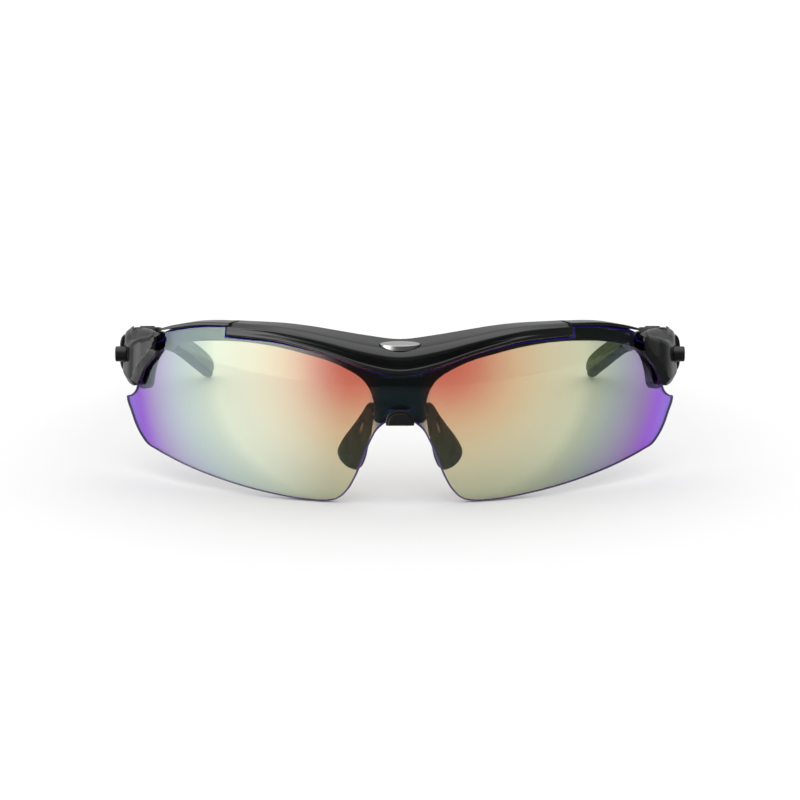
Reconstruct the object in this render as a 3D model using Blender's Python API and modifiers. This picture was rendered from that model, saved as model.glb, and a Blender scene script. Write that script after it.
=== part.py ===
"""Wraparound sport sunglasses: a one-piece shield lens on a half frame, with folding arms.

The glasses stand on the lens and the arm tips, as on a table. -Y is the front, +Z is up and
left and right are the wearer's. Lengths in the code are millimetres, and MM turns them into
metres. Front pieces are cut flat and then wrapped round the face: s runs along the lens from its
middle, depth runs back from its outer face and h is the height. Each arm is built in the frame
of its own hinge: u points away from the head, v runs back along the arm and w up the hinge pin.
"""
import math

import bmesh
import bpy
from mathutils import Matrix, Vector

MM = 0.001
GAP = 0.3                 # clearance between touching pieces

# Lens and wrap
BASE_RADIUS = 88.0        # horizontal radius of the outer face
VERTICAL_RADIUS = 130.0   # vertical radius of the outer face
LEAN = math.radians(3.0)  # the top of the lens leans back
MIDDLE_HEIGHT = 22.0      # height at which the outer face reaches furthest forward
LENS_THICKNESS = 2.0
CORNER_START = 76.0       # s where the frame leaves the lens curve and turns back
CORNER_RADIUS = 16.0
CORNER_HEADING = math.radians(86.0)   # direction of the frame's side, from the X axis
STAND_LIFT = 0.35         # raises the lens so that its lowest edge is at the table
FRONT_SHIFT = -70.1       # moves the middle of the whole depth to y = 0

# Half frame behind the lens
WALL_FRONT = LENS_THICKNESS + GAP
WALL_BACK = 5.0
BROW_HALF = 47.2          # s where the brow bar ends and the lens rises past it
BROW_END = -1.3           # front of the brow bar at its ends
BROW_PROUD = 4.4          # how far the middle of the brow stands forward of its ends
BROW_HOLLOW = 2.6         # depth of the groove along the front of the brow
LIP_FRONT = -1.5
LIP_BACK = 3.2

# End caps
CAP_FRONT = -2.4
CAP_SKIN = 1.6
CAP_END = 88.2            # s of the rear edge at the top
CAP_FOOT = 86.5           # and at the bottom, because the arm leans
CAP_BLOCK_BACK = 1.2
SCREW_HOLE = 0.9

# Hinges
HINGE = Vector((66.3, 39.4, 31.4))
ARM_SLOPE = math.radians(11.5)        # the arms fall towards their tips
KNUCKLE_RADIUS = 2.6
KNUCKLE_HALF = 1.6
TAB_LOW = 2.6             # underside of the upper tab
TAB_TOP = 5.3             # seat of the pin's head
TAB_UNDER = -1.9          # upper side of the lower tab
TAB_BOTTOM = -4.2
DECK_RADIUS = 3.7         # the upper tab widens into a round deck, level with the end cap
DECK_TOP = 6.2
PIN_RADIUS = 0.7
PIN_END = -4.0
HEAD_RADIUS = 1.95
HEAD_HEIGHT = 0.9
FLUTES = 6
WASHER = (1.0, 2.4, 1.9, 2.3)         # inner and outer radius, low and high level
NUT = (1.0, 1.6, -4.1, -3.2)

# Release buttons
BUTTON_Y = 37.4
BUTTON_Z = 31.0
BUTTON_RADIUS = 2.0
BUTTON_BORE = 2.3
BUTTON_FACE = 74.6
STEM_RADIUS = 0.7
STEM_LENGTH = 5.2
SPRING_TURNS = 2.5
SPRING_RADIUS = 1.1
SPRING_WIRE = 0.17
SPRING_ENDS = (71.1, 72.7)           # x of its two ends

# Arms
SLEEVE_START = 71.0
ARM_END = 108.0
WIRE_RADIUS = 0.8

# Nose pads
PAD_TURN = math.radians(38.0)         # the pad's face, from the plane of the front
NOSE_WIRE_RADIUS = 0.55

# Badge
BADGE_HALF = (5.05, 2.6)
BADGE_HEIGHT = 1.4
BADGE_PLACE = (0.0, -1.9, 40.4)       # flat place of the middle of its underside
BADGE_TILT = math.radians(2.0)

CORNER = "corner"
parts = bpy.data.collections.new("sport_sunglasses")
cutters = bpy.data.collections.new("cutters")
seat = None               # the empty that everything stands on


# ---------------------------------------------------------------- wrapping

def wrap(point, corner=False):
    """World place, in metres, of a flat place (s, depth, h)."""
    s, depth, h = point
    sag = (h - MIDDLE_HEIGHT) ** 2 / (2 * VERTICAL_RADIUS)
    side = 1 if s >= 0 else -1
    run = abs(s)
    if corner and run > CORNER_START:
        start = CORNER_START / BASE_RADIUS
        turn = min(start + (run - CORNER_START) / CORNER_RADIUS, CORNER_HEADING)
        straight = max(0.0, run - CORNER_START - (CORNER_HEADING - start) * CORNER_RADIUS)
        middle = BASE_RADIUS - CORNER_RADIUS
        reach = CORNER_RADIUS - depth - sag
        x = middle * math.sin(start) + reach * math.sin(turn) + straight * math.cos(turn)
        y = BASE_RADIUS - middle * math.cos(start) - reach * math.cos(turn)
        y += straight * math.sin(turn)
    else:
        reach = BASE_RADIUS - depth - sag
        x = reach * math.sin(run / BASE_RADIUS)
        y = BASE_RADIUS - reach * math.cos(run / BASE_RADIUS)
    z = h - MIDDLE_HEIGHT
    leant_y = y * math.cos(LEAN) + z * math.sin(LEAN)
    leant_z = z * math.cos(LEAN) - y * math.sin(LEAN) + MIDDLE_HEIGHT + STAND_LIFT
    return Vector((side * x, leant_y, leant_z))


def wrap_corner(point):
    return wrap(point, corner=True)


def hinge_place(side):
    """Matrix from a hinge's own frame (u, v, w) to the world, in millimetres."""
    pivot = Vector((side * HINGE.x, HINGE.y, HINGE.z))
    return Matrix.Translation(pivot) @ Matrix.Rotation(-ARM_SLOPE, 4, "X") @ Matrix.Scale(side, 4, (1, 0, 0))


# ---------------------------------------------------------------- making solids

def material(name, colour, roughness, metallic=0.0, alpha=1.0):
    made = bpy.data.materials.new(name)
    made.use_nodes = True
    shader = made.node_tree.nodes["Principled BSDF"]
    shader.inputs["Base Color"].default_value = (*colour, 1.0)
    shader.inputs["Roughness"].default_value = roughness
    shader.inputs["Metallic"].default_value = metallic
    shader.inputs["Alpha"].default_value = alpha
    made.diffuse_color = (*colour, alpha)
    return made


def add_object(name, bm, finish=None):
    """A new object in metres from a millimetre bmesh. Without a finish it is a cutter."""
    bmesh.ops.scale(bm, vec=(MM, MM, MM), verts=bm.verts)
    bmesh.ops.recalc_face_normals(bm, faces=bm.faces)
    mesh = bpy.data.meshes.new(name)
    bm.to_mesh(mesh)
    bm.free()
    made = bpy.data.objects.new(name, mesh)
    if finish is None:
        cutters.objects.link(made)
        made.hide_render = True
        made.display_type = "WIRE"
    else:
        parts.objects.link(made)
        mesh.materials.append(finish)
    made.parent = seat
    return made


def boolean(target, tool, operation, solver):
    step = target.modifiers.new(tool.name, "BOOLEAN")
    step.operation = operation
    step.solver = solver
    step.object = tool


def flat_outline(points, resolution):
    """Closed 2D curve through the points. A point marked CORNER is sharp."""
    curve = bpy.data.curves.new("outline", "CURVE")
    curve.dimensions = "2D"
    curve.fill_mode = "BOTH"
    curve.resolution_u = resolution
    spline = curve.splines.new("BEZIER")
    spline.bezier_points.add(len(points) - 1)
    spline.use_cyclic_u = True
    for knot, point in zip(spline.bezier_points, points):
        knot.co = (point[0], point[1], 0.0)
        kind = "VECTOR" if len(point) > 2 else "AUTO"
        knot.handle_left_type = kind
        knot.handle_right_type = kind
    return curve


def slab_mesh(points, front, back, resolution=3):
    """A flat outline in s and h, as a closed slab between two depths, not yet wrapped."""
    curve = flat_outline(points, resolution)
    curve.extrude = (back - front) / 2
    holder = bpy.data.objects.new("outline", curve)
    bpy.context.scene.collection.objects.link(holder)
    bpy.context.view_layer.update()
    evaluated = holder.evaluated_get(bpy.context.evaluated_depsgraph_get())
    mesh = bpy.data.meshes.new_from_object(evaluated)
    bm = bmesh.new()
    bm.from_mesh(mesh)
    bmesh.ops.remove_doubles(bm, verts=bm.verts, dist=0.001)
    bmesh.ops.dissolve_limit(bm, angle_limit=0.01, verts=bm.verts, edges=bm.edges)
    stand = Matrix(((1, 0, 0, 0), (0, 0, -1, (front + back) / 2), (0, 1, 0, 0), (0, 0, 0, 1)))
    bmesh.ops.transform(bm, matrix=stand, verts=bm.verts)
    bmesh.ops.recalc_face_normals(bm, faces=bm.faces)
    bpy.data.objects.remove(holder)
    bpy.data.curves.remove(curve)
    bpy.data.meshes.remove(mesh)
    return bm


def loft_mesh(rings):
    """Closed body through rings of the same number of points."""
    bm = bmesh.new()
    loops = [[bm.verts.new(point) for point in ring] for ring in rings]
    for near, far in zip(loops, loops[1:]):
        for i, corner in enumerate(near):
            after = (i + 1) % len(near)
            bm.faces.new((corner, near[after], far[after], far[i]))
    bm.faces.new(loops[0][::-1])
    bm.faces.new(loops[-1])
    bmesh.ops.recalc_face_normals(bm, faces=bm.faces)
    return bm


def box_mesh(low, high):
    bm = bmesh.new()
    size = [b - a for a, b in zip(low, high)]
    middle = [(a + b) / 2 for a, b in zip(low, high)]
    bmesh.ops.create_cube(bm, size=1.0, matrix=Matrix.Translation(middle) @ Matrix.Diagonal((*size, 1)))
    return bm


def cylinder_mesh(radius, low, high, segments=20, axis="Z", centre=(0, 0)):
    """A cylinder along X or Z between two levels, with its centre in the other two axes."""
    bm = bmesh.new()
    bmesh.ops.create_cone(
        bm, cap_ends=True, segments=segments, radius1=radius, radius2=radius, depth=high - low
    )
    middle = (low + high) / 2
    if axis == "X":
        bmesh.ops.rotate(bm, verts=bm.verts, matrix=Matrix.Rotation(math.pi / 2, 3, "Y"))
        bmesh.ops.translate(bm, verts=bm.verts, vec=(middle, centre[0], centre[1]))
    else:
        bmesh.ops.translate(bm, verts=bm.verts, vec=(centre[0], centre[1], middle))
    return bm


def combine(first, others, operation="UNION", flat=False, solver="EXACT"):
    """Join or cut raw millimetre meshes. Flat bodies get their coplanar faces merged again."""
    holder = raw_object(first)
    tools = [raw_object(other) for other in others]
    for tool in tools:
        boolean(holder, tool, operation, solver)
    bpy.context.view_layer.update()
    evaluated = holder.evaluated_get(bpy.context.evaluated_depsgraph_get())
    mesh = bpy.data.meshes.new_from_object(evaluated)
    bm = bmesh.new()
    bm.from_mesh(mesh)
    bmesh.ops.remove_doubles(bm, verts=bm.verts, dist=0.0005)
    if flat:
        bmesh.ops.dissolve_limit(bm, angle_limit=0.01, verts=bm.verts, edges=bm.edges)
    for used in [holder, *tools]:
        bpy.data.objects.remove(used)
    bpy.data.meshes.remove(mesh)
    return bm


def raw_object(bm):
    mesh = bpy.data.meshes.new("raw")
    bm.to_mesh(mesh)
    bm.free()
    made = bpy.data.objects.new("raw", mesh)
    bpy.context.scene.collection.objects.link(made)
    return made


def bend(bm, place, s_step, h_step=9.0):
    """Cut a flat body into strips and wrap every point, so that it follows the curve."""
    low = min(v.co.x for v in bm.verts)
    high = max(v.co.x for v in bm.verts)
    count = max(1, round((high - low) / s_step))
    levels = [("x", low + (high - low) * i / count) for i in range(1, count)]
    bottom = min(v.co.z for v in bm.verts)
    top = max(v.co.z for v in bm.verts)
    rows = int((top - bottom) / h_step)
    levels += [("z", bottom + (top - bottom) * i / (rows + 1)) for i in range(1, rows + 1)]
    for axis, level in levels:
        normal = (1, 0, 0) if axis == "x" else (0, 0, 1)
        where = tuple(level * n for n in normal)
        geometry = bm.verts[:] + bm.edges[:] + bm.faces[:]
        bmesh.ops.bisect_plane(bm, geom=geometry, dist=0.002, plane_co=where, plane_no=normal)
    for vert in bm.verts:
        vert.co = place(vert.co)
    return bm


def flipped(points):
    """The same outline on the other side of the face, still running the same way round."""
    return [(-point[0], *point[1:]) for point in reversed(points)]


def moved(bm, matrix):
    bmesh.ops.transform(bm, matrix=matrix, verts=bm.verts)
    bmesh.ops.recalc_face_normals(bm, faces=bm.faces)
    return bm


def tube_mesh(points, radius, sides=8):
    """A round bar through points in millimetres, with flat ends."""
    rings = []
    for i, point in enumerate(points):
        ahead = Vector(points[min(i + 1, len(points) - 1)])
        behind = Vector(points[max(i - 1, 0)])
        turn = (ahead - behind).to_track_quat("Z", "X")
        ring = []
        for k in range(sides):
            angle = 2 * math.pi * k / sides
            ring.append(Vector(point) + turn @ Vector((math.cos(angle), math.sin(angle), 0)) * radius)
        rings.append(ring)
    return loft_mesh(rings)


# ---------------------------------------------------------------- outlines, right half of s > 0

LENS_HALF = [
    (2.3, 21.1, CORNER), (3.8, 21.1, CORNER), (5.8, 19.3), (7.3, 16.7), (8.7, 13.6), (10.5, 9.1),
    (11.9, 6.1), (13.8, 3.1), (16.2, 1.0), (19.2, 0.1), (24.0, 0.05), (33.2, 0.9), (53.2, 4.2),
    (72.6, 8.7), (75.7, 9.6), (78.0, 11.3), (80.4, 14.0), (82.4, 17.4), (84.2, 20.6),
    (84.2, 21.5, CORNER), (82.2, 22.1), (80.2, 23.5), (79.2, 25.4), (79.0, 27.5), (79.4, 34.0),
    (79.0, 34.6, CORNER), (69.3, 38.2, CORNER), (68.6, 40.4, CORNER), (63.1, 41.8), (56.2, 43.1),
    (47.6, 43.9, CORNER), (47.6, 41.2, CORNER),
]
BROW_LOW = [(0.0, 33.8), (8.3, 35.3), (17.9, 38.4), (28.5, 40.7), (34.1, 41.3), (47.2, 41.5)]
BROW_TOP = [(0.0, 41.9), (9.1, 42.8), (16.9, 43.8), (25.0, 44.7), (33.4, 45.1), (47.2, 44.8)]


def along(table, s):
    """Height at s, on a smooth curve through a table of (s, h)."""
    s = abs(s)
    for i in range(len(table) - 1):
        (s0, h0), (s1, h1) = table[i], table[i + 1]
        if s <= s1 or i == len(table) - 2:
            before = table[i - 1] if i else (-table[1][0], table[1][1])
            after = table[i + 2] if i + 2 < len(table) else (2 * s1 - s0, 2 * h1 - h0)
            slope0 = (h1 - before[1]) / (s1 - before[0])
            slope1 = (after[1] - h0) / (after[0] - s0)
            t = (s - s0) / (s1 - s0)
            run = s1 - s0
            return (
                h0 * (1 + 2 * t) * (1 - t) ** 2 + slope0 * run * t * (1 - t) ** 2
                + h1 * t * t * (3 - 2 * t) + slope1 * run * t * t * (t - 1)
            )


def lens_outline():
    under_brow = [(s, along(BROW_LOW, s) - GAP) for s in (42.0, 34.0, 26.0, 18.0, 10.0, 4.0)]
    half = LENS_HALF + under_brow
    notch_top = [(-2.3, 24.2, CORNER), (2.3, 24.2, CORNER)]
    return notch_top + half + flipped(half)


def wall_outline():
    top = [(s, along(BROW_TOP, s) - 0.7) for s in (7.0, 16.0, 25.0, 34.0, 42.0)]
    half = [
        (2.3, 20.9, CORNER), (5.9, 20.9), (6.7, 21.6), (6.7, 23.8), (7.1, 27.1), (8.6, 30.4),
        (10.7, 32.5), (13.5, 34.1), (19.0, 36.3), (24.6, 37.6), (30.4, 38.7), (36.3, 39.4),
        (43.0, 39.7), (50.6, 39.4), (59.2, 38.4), (66.6, 36.6), (70.6, 35.2), (73.4, 33.4),
        (74.9, 31.1), (76.1, 27.6), (76.9, 25.1), (78.4, 24.0), (80.0, 23.8), (84.2, 23.8, CORNER),
        (84.2, 28.0, CORNER), (80.6, 28.4, CORNER), (80.6, 36.9, CORNER), (76.4, 38.0), (73.0, 39.0),
        (69.6, 40.1), (68.0, 40.9), (63.1, 42.4), (56.3, 43.7), (48.5, 44.5),
    ]
    slot_top = [(-2.3, 24.2, CORNER), (2.3, 24.2, CORNER)]
    return slot_top + half + top[::-1] + flipped(top[::-1]) + flipped(half)


def brow_ring(s):
    """Section of the brow bar at s, as (depth, h) points from the rear top edge round the front."""
    middle = math.cos(math.pi / 2 * min(1.0, abs(s) / BROW_HALF)) ** 2
    top = along(BROW_TOP, s)
    low = along(BROW_LOW, s)
    tall = top - low
    proud = BROW_END - BROW_PROUD * middle
    hollow = BROW_HOLLOW * middle
    profile = [
        (4.6, top - 0.35),
        (3.9, top),
        (proud + 1.6 + 1.2 * middle, top - 0.10 * tall * (0.35 + middle)),
        (proud + 0.9, top - (0.12 + 0.12 * middle) * tall),
        (proud, top - (0.28 + 0.14 * middle) * tall),
        (proud + 0.5 * hollow + 0.1, top - (0.46 + 0.08 * middle) * tall),
        (proud + hollow, top - (0.62 + 0.02 * middle) * tall),
        (proud + 0.55 * hollow, top - (0.74 + 0.06 * middle) * tall),
        (proud + 0.5 * hollow + 0.1, low + (0.12 - 0.04 * middle) * tall),
        (proud + 0.8 * hollow + 0.5, low),
        (WALL_FRONT + 1.2, low),
        (WALL_FRONT + 1.2, top - 1.6),
        (4.6, top - 1.3),
    ]
    return [(s, depth, h) for depth, h in profile]


LIP = [
    (46.0, 44.2, CORNER), (56.2, 43.4), (63.1, 42.1), (68.9, 40.7, CORNER), (69.2, 41.2, CORNER),
    (63.1, 42.9), (56.3, 44.15), (46.0, 44.95, CORNER),
]
CAP_EDGE_LOW = [
    (70.6, 34.0), (71.8, 32.8), (74.5, 30.0), (76.2, 26.8), (77.2, 25.4), (79.4, 25.2),
    (83.0, 25.6), (CAP_FOOT, 26.5, CORNER),
]
CAP_EDGE_TOP = [
    (CAP_END, 38.6, CORNER), (84.0, 37.9), (81.8, 37.3), (80.0, 37.1), (76.4, 38.2), (73.0, 39.2),
    (71.2, 39.9), (70.1, 39.6), (69.6, 38.5), (69.6, 36.7), (69.9, 35.1),
]
CAP_BLOCK = [
    (81.2, 25.5, CORNER), (83.0, 25.6), (CAP_FOOT, 26.5, CORNER), (CAP_END, 38.6, CORNER),
    (84.0, 37.9), (81.2, 37.2, CORNER),
]
CAP_FLANGE = [
    (71.2, 38.1, CORNER), (73.0, 37.5), (76.4, 36.3), (80.0, 35.3), (82.0, 35.3, CORNER),
    (82.0, 37.3, CORNER), (80.0, 37.1), (76.4, 38.2), (73.0, 39.2), (71.2, 39.8, CORNER),
]
LENS_EAR = [
    (62.0, 24.0, CORNER), (80.3, 24.0, CORNER), (80.3, 34.9, CORNER), (70.0, 38.45, CORNER),
    (69.4, 41.5, CORNER), (62.0, 42.0, CORNER),
]
MOUTH = [(67.0, 35.7, CORNER), (71.2, 35.7), (72.1, 37.2), (71.4, 38.7), (67.0, 38.9, CORNER)]
MOUTH_FRONT = -1.75

# Room that the dome leaves over the frame's side
WALL_ROOM = [
    (74.0, 33.0, CORNER), (81.0, 33.0, CORNER), (81.0, 37.3, CORNER), (76.4, 38.4, CORNER),
    (74.0, 39.1, CORNER),
]
# Dome over the hinge: s and h on the cap's top edge, then the dome's inner end (u, v, w) at the hinge
CAP_DOME = [
    (71.7, 39.7, -2.5, -12.1, 4.9), (73.0, 39.2, -2.7, -9.9, 5.2), (74.8, 38.7, -1.5, -6.7, 5.75),
    (76.4, 38.2, 0.6, -4.1, 6.1), (78.4, 37.6, 1.3, -2.7, 6.2), (80.0, 37.1, 2.0, -2.3, 6.2),
    (81.8, 37.3, 2.5, -1.7, 6.2), (84.0, 37.9, 2.9, -0.9, 6.2), (86.0, 38.3, 3.0, 0.1, 6.2),
    (88.0, 38.6, 2.9, 1.1, 6.2),
]
DOME_THICKNESS = 1.0
DOME_BULGE = 0.5
DOME_STEPS = 3

# Arm stations: v, centre u, centre w, half thickness, half height
ARM = [
    (3.2, 5.15, -0.6, 2.40, 4.95), (6.0, 5.10, -0.4, 2.40, 4.80), (12.0, 5.0, 0.0, 2.30, 4.30),
    (22.0, 4.7, 0.6, 2.20, 3.90), (35.0, 4.1, 1.3, 2.10, 3.40), (50.0, 3.0, 1.9, 2.00, 2.90),
    (60.0, 1.4, 1.8, 1.95, 2.60), (SLEEVE_START, -1.5, 0.9, 1.9, 2.45),
]
SLEEVE = [
    (SLEEVE_START + GAP, -1.6, 0.9, 1.9, 2.45), (78.0, -3.4, -0.2, 1.9, 2.45),
    (84.0, -4.9, -1.6, 1.9, 2.5), (90.0, -6.4, -3.1, 1.9, 2.6), (96.0, -7.9, -4.7, 1.85, 2.7),
    (101.0, -9.2, -6.1, 1.8, 2.7), (105.0, -10.2, -7.5, 1.6, 2.45),
    (107.2, -10.8, -8.3, 1.2, 1.75), (ARM_END, -11.0, -8.7, 0.6, 0.9),
]
# Grip stations: v, rise of its middle above the sleeve's, half height
GRIP = [(73.5, 0.2, 1.0), (75.5, 0.3, 1.8), (84.0, 0.35, 2.0), (96.0, 0.35, 2.1), (103.0, 0.3, 1.7),
        (104.6, 0.2, 1.0)]
GRIP_THICKNESS = 0.7
GRIP_STEP = 0.7           # how much thinner the sleeve is on its inner side, for the grip
WIRE_START = 50.0
WIRE_END = 103.0

# Nose pad sections, left side: z, centre x, centre y, half width, half thickness
PAD = [
    (25.0, 7.1, 8.0, 0.7, 0.5), (24.2, 7.3, 8.2, 1.3, 0.95), (21.6, 8.2, 9.1, 1.9, 1.2),
    (18.0, 9.6, 10.6, 2.9, 1.35), (14.5, 11.1, 11.8, 3.9, 1.4), (11.0, 12.2, 12.6, 4.5, 1.4),
    (8.8, 12.3, 12.7, 3.8, 1.3), (7.3, 11.9, 12.3, 2.4, 1.05), (6.7, 11.5, 12.0, 1.0, 0.6),
]
NOSE_PIVOT = Vector((3.4, 7.0, 22.8))
NOSE_WIRE = [
    (2.6, 7.0, 22.8), (4.6, 7.1, 22.8), (6.0, 7.7, 22.5), (7.5, 8.8, 21.6), (8.7, 9.9, 19.8),
    (9.7, 10.7, 17.6), (10.7, 11.5, 15.4),
]


def rounded(centre, half, reach, count=12, squareness=3.0):
    """Points of a rounded rectangle: half and reach are its half sizes along two axes."""
    ring = []
    for k in range(count):
        angle = 2 * math.pi * (k + 0.5) / count
        a, b = math.cos(angle), math.sin(angle)
        size = (abs(a) ** squareness + abs(b) ** squareness) ** (-1 / squareness)
        ring.append((centre[0] + half * a * size, centre[1] + reach * b * size))
    return ring


def station(table, v):
    """Centre u and w of the arm at v, by straight lines between stations."""
    for first, second in zip(table, table[1:]):
        if v <= second[0] or second is table[-1]:
            t = (v - first[0]) / (second[0] - first[0])
            return [a + (b - a) * t for a, b in zip(first, second)]


# ---------------------------------------------------------------- front pieces

def make_lens(finish):
    flat = slab_mesh(lens_outline(), 0.0, LENS_THICKNESS, resolution=3)
    return add_object("lens_shield", bend(flat, wrap, 6.0, 11.0), finish)


def hinge_lugs(side):
    """The two tabs of the frame that hold the hinge pin, in world millimetres."""
    lower = cylinder_mesh(KNUCKLE_RADIUS, TAB_BOTTOM, TAB_UNDER)
    lower_web = box_mesh((-2.35, -4.2, TAB_BOTTOM), (-0.3, 0.4, TAB_UNDER))
    upper = cylinder_mesh(DECK_RADIUS, TAB_LOW, DECK_TOP, 28)
    upper_web = box_mesh((-2.35, -4.4, TAB_LOW), (-0.3, 0.4, DECK_TOP - 0.4))
    seat_bore = cylinder_mesh(HEAD_RADIUS + GAP, TAB_TOP, DECK_TOP + 2)
    upper = combine(combine(upper, [upper_web], flat=True), [seat_bore], "DIFFERENCE", flat=True)
    place = hinge_place(side)
    return [moved(upper, place), moved(combine(lower, [lower_web], flat=True), place)]


def pin_bore(side):
    return moved(cylinder_mesh(PIN_RADIUS + GAP, TAB_BOTTOM - 2, DECK_TOP, 16), hinge_place(side))


def nut_bore(side):
    bore = cylinder_mesh(NUT[1] + GAP, TAB_BOTTOM - 2, NUT[3] + GAP, 16)
    return moved(bore, hinge_place(side))


def cap_screw_place(side):
    """Matrix of the screw that holds an end cap: its +Z points out of the frame's inner face."""
    base = wrap_corner((side * 82.5, 5.0, 26.4))
    outward = base - wrap_corner((side * 82.5, 0.0, 26.4))
    return Matrix.Translation(base) @ outward.to_track_quat("Z", "X").to_matrix().to_4x4()


def make_frame(finish):
    wall = slab_mesh(wall_outline(), WALL_FRONT, WALL_BACK)
    count = 16
    brow = loft_mesh([brow_ring(BROW_HALF * (2 * i / count - 1)) for i in range(count + 1)])
    lip = slab_mesh(LIP, LIP_FRONT, LIP_BACK)
    other_lip = slab_mesh(flipped(LIP), LIP_FRONT, LIP_BACK)
    body = bend(combine(wall, [brow, lip, other_lip], flat=True), wrap_corner, 6.0, 12.0)
    for side in (1, -1):
        body = combine(body, hinge_lugs(side), solver="MANIFOLD")
        screw_hole = moved(cylinder_mesh(SCREW_HOLE, -5.0, 2.0, 12), cap_screw_place(side))
        slot = moved(
            cylinder_mesh(KNUCKLE_RADIUS + 0.35, TAB_UNDER + 0.05, TAB_LOW - 0.05), hinge_place(side)
        )
        bores = [pin_bore(side), nut_bore(side), slot, screw_hole]
        body = combine(body, bores, "DIFFERENCE", solver="MANIFOLD")
    body = combine(body, [badge_mesh(GAP, 2.0)], "DIFFERENCE", solver="MANIFOLD")
    return add_object("frame_front", body, finish)


def badge_mesh(extra=0.0, above=0.0):
    """The oval plate on top of the brow; extra and above make the recess that it sits in."""
    bm = bmesh.new()
    height = BADGE_HEIGHT + extra + above
    bmesh.ops.create_cone(
        bm, cap_ends=True, segments=28, radius1=1.0, radius2=1.0, depth=1.0
    )
    bmesh.ops.translate(bm, verts=bm.verts, vec=(0, 0, 0.5))
    size = (BADGE_HALF[0] + extra, BADGE_HALF[1] + extra, height)
    bmesh.ops.scale(bm, vec=size, verts=bm.verts)
    bmesh.ops.translate(bm, verts=bm.verts, vec=(0, 0, -extra))
    return moved(bm, Matrix.Translation(wrap(BADGE_PLACE)) @ Matrix.Rotation(BADGE_TILT, 4, "X"))


def make_badge(finish):
    return add_object("brow_badge", badge_mesh(), finish)


def make_nose_clip(finish):
    face = [(-3.5, 20.8, CORNER), (3.5, 20.8, CORNER), (3.5, 22.3), (2.6, 24.1), (0.0, 24.9),
            (-2.6, 24.1), (-3.5, 22.3)]
    raised = [(-2.9, 20.9, CORNER), (2.9, 20.9, CORNER), (2.9, 22.0), (2.1, 23.4), (0.0, 24.1),
              (-2.1, 23.4), (-2.9, 22.0)]
    front = slab_mesh(face, -1.9, -0.35)
    parts_of_clip = [
        slab_mesh(raised, -2.5, -1.2),
        box_mesh((-1.9, -0.8, 21.2), (1.9, 5.8, 23.8)),
        box_mesh((-4.0, 5.35, 20.0), (4.0, 8.4, 25.4)),
    ]
    body = combine(front, parts_of_clip)
    for vert in body.verts:
        vert.co = wrap(vert.co)
    bores = []
    for side in (1, -1):
        ends = sorted((side * 2.0, side * 6.0))
        bore = cylinder_mesh(NOSE_WIRE_RADIUS + 0.4, *ends, 12, "X", (NOSE_PIVOT.y, NOSE_PIVOT.z))
        bores.append(bore)
    return add_object("nose_clip", combine(body, bores, "DIFFERENCE"), finish)


def nose_wire_mesh():
    return tube_mesh(NOSE_WIRE, NOSE_WIRE_RADIUS)


def nose_pad_mesh():
    """Left nose pad: its face looks inwards and back, and the wire runs into its top."""
    rings = []
    for z, x, y, half, thick in PAD:
        ring = []
        for a, b in rounded((0, 0), half, thick, 14, 2.4):
            across = a * math.cos(PAD_TURN) - b * math.sin(PAD_TURN)
            ring.append((x + across, y + a * math.sin(PAD_TURN) + b * math.cos(PAD_TURN), z))
        rings.append(ring)
    end = Vector(NOSE_WIRE[-1])
    beyond = end + (end - Vector(NOSE_WIRE[-2])).normalized() * 0.5
    bore = tube_mesh([*NOSE_WIRE[1:-1], beyond], NOSE_WIRE_RADIUS + GAP)
    return combine(loft_mesh(rings), [bore], "DIFFERENCE")


# ---------------------------------------------------------------- end caps and buttons

def cap_dome_mesh():
    """The end cap's top, which rises from its edge to the round deck of the hinge."""
    place = hinge_place(1)
    under = Vector((0, 0, DOME_THICKNESS))
    rings = []
    for s, h, *inner in CAP_DOME:
        edge = place.inverted() @ wrap_corner((s, -1.3, h - 0.15))
        end = Vector(inner)
        top = []
        for k in range(DOME_STEPS + 1):
            t = k / DOME_STEPS
            top.append(edge.lerp(end, t) + under * DOME_BULGE * math.sin(math.pi * t))
        rings.append([place @ point for point in top + [point - under for point in reversed(top)]])
    return loft_mesh(rings)


def end_cap_mesh():
    """Left end cap, in world millimetres."""
    skin = slab_mesh(CAP_EDGE_LOW + CAP_EDGE_TOP, CAP_FRONT, CAP_FRONT + CAP_SKIN + 0.45)
    block = slab_mesh(CAP_BLOCK, -0.8, CAP_BLOCK_BACK)
    flange = slab_mesh(CAP_FLANGE, -0.8, 1.9)
    body = bend(combine(skin, [block, flange], flat=True), wrap_corner, 4.0, 12.0)
    centre = (BUTTON_Y, BUTTON_Z)
    cuts = [
        bend(slab_mesh(LENS_EAR, -0.35, 2.6, 1), wrap, 4.0, 12.0),
        bend(slab_mesh(MOUTH, MOUTH_FRONT, -0.1, 2), wrap, 4.0, 12.0),
        cylinder_mesh(BUTTON_BORE, 70.8, 76.0, 20, "X", centre),
        cylinder_mesh(STEM_RADIUS + GAP, 66.0, 76.0, 20, "X", centre),
        box_mesh((64.0, 33.9, 29.4), (70.3, 38.6, 32.6)),
        moved(cylinder_mesh(SCREW_HOLE, -6.2, 2.0, 12), cap_screw_place(1)),
        moved(box_mesh((-6.0, -2.95, -7.0), (3.35, 8.0, 9.0)), hinge_place(1)),
    ]
    domed = combine(combine(body, cuts, "DIFFERENCE"), [cap_dome_mesh()], solver="MANIFOLD")
    deck = moved(cylinder_mesh(DECK_RADIUS + GAP, TAB_LOW - GAP, 9.0, 28), hinge_place(1))
    room = bend(slab_mesh(WALL_ROOM, 2.0, WALL_BACK + GAP, 1), wrap_corner, 4.0, 12.0)
    return combine(domed, [deck, room], "DIFFERENCE", solver="MANIFOLD")


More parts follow.
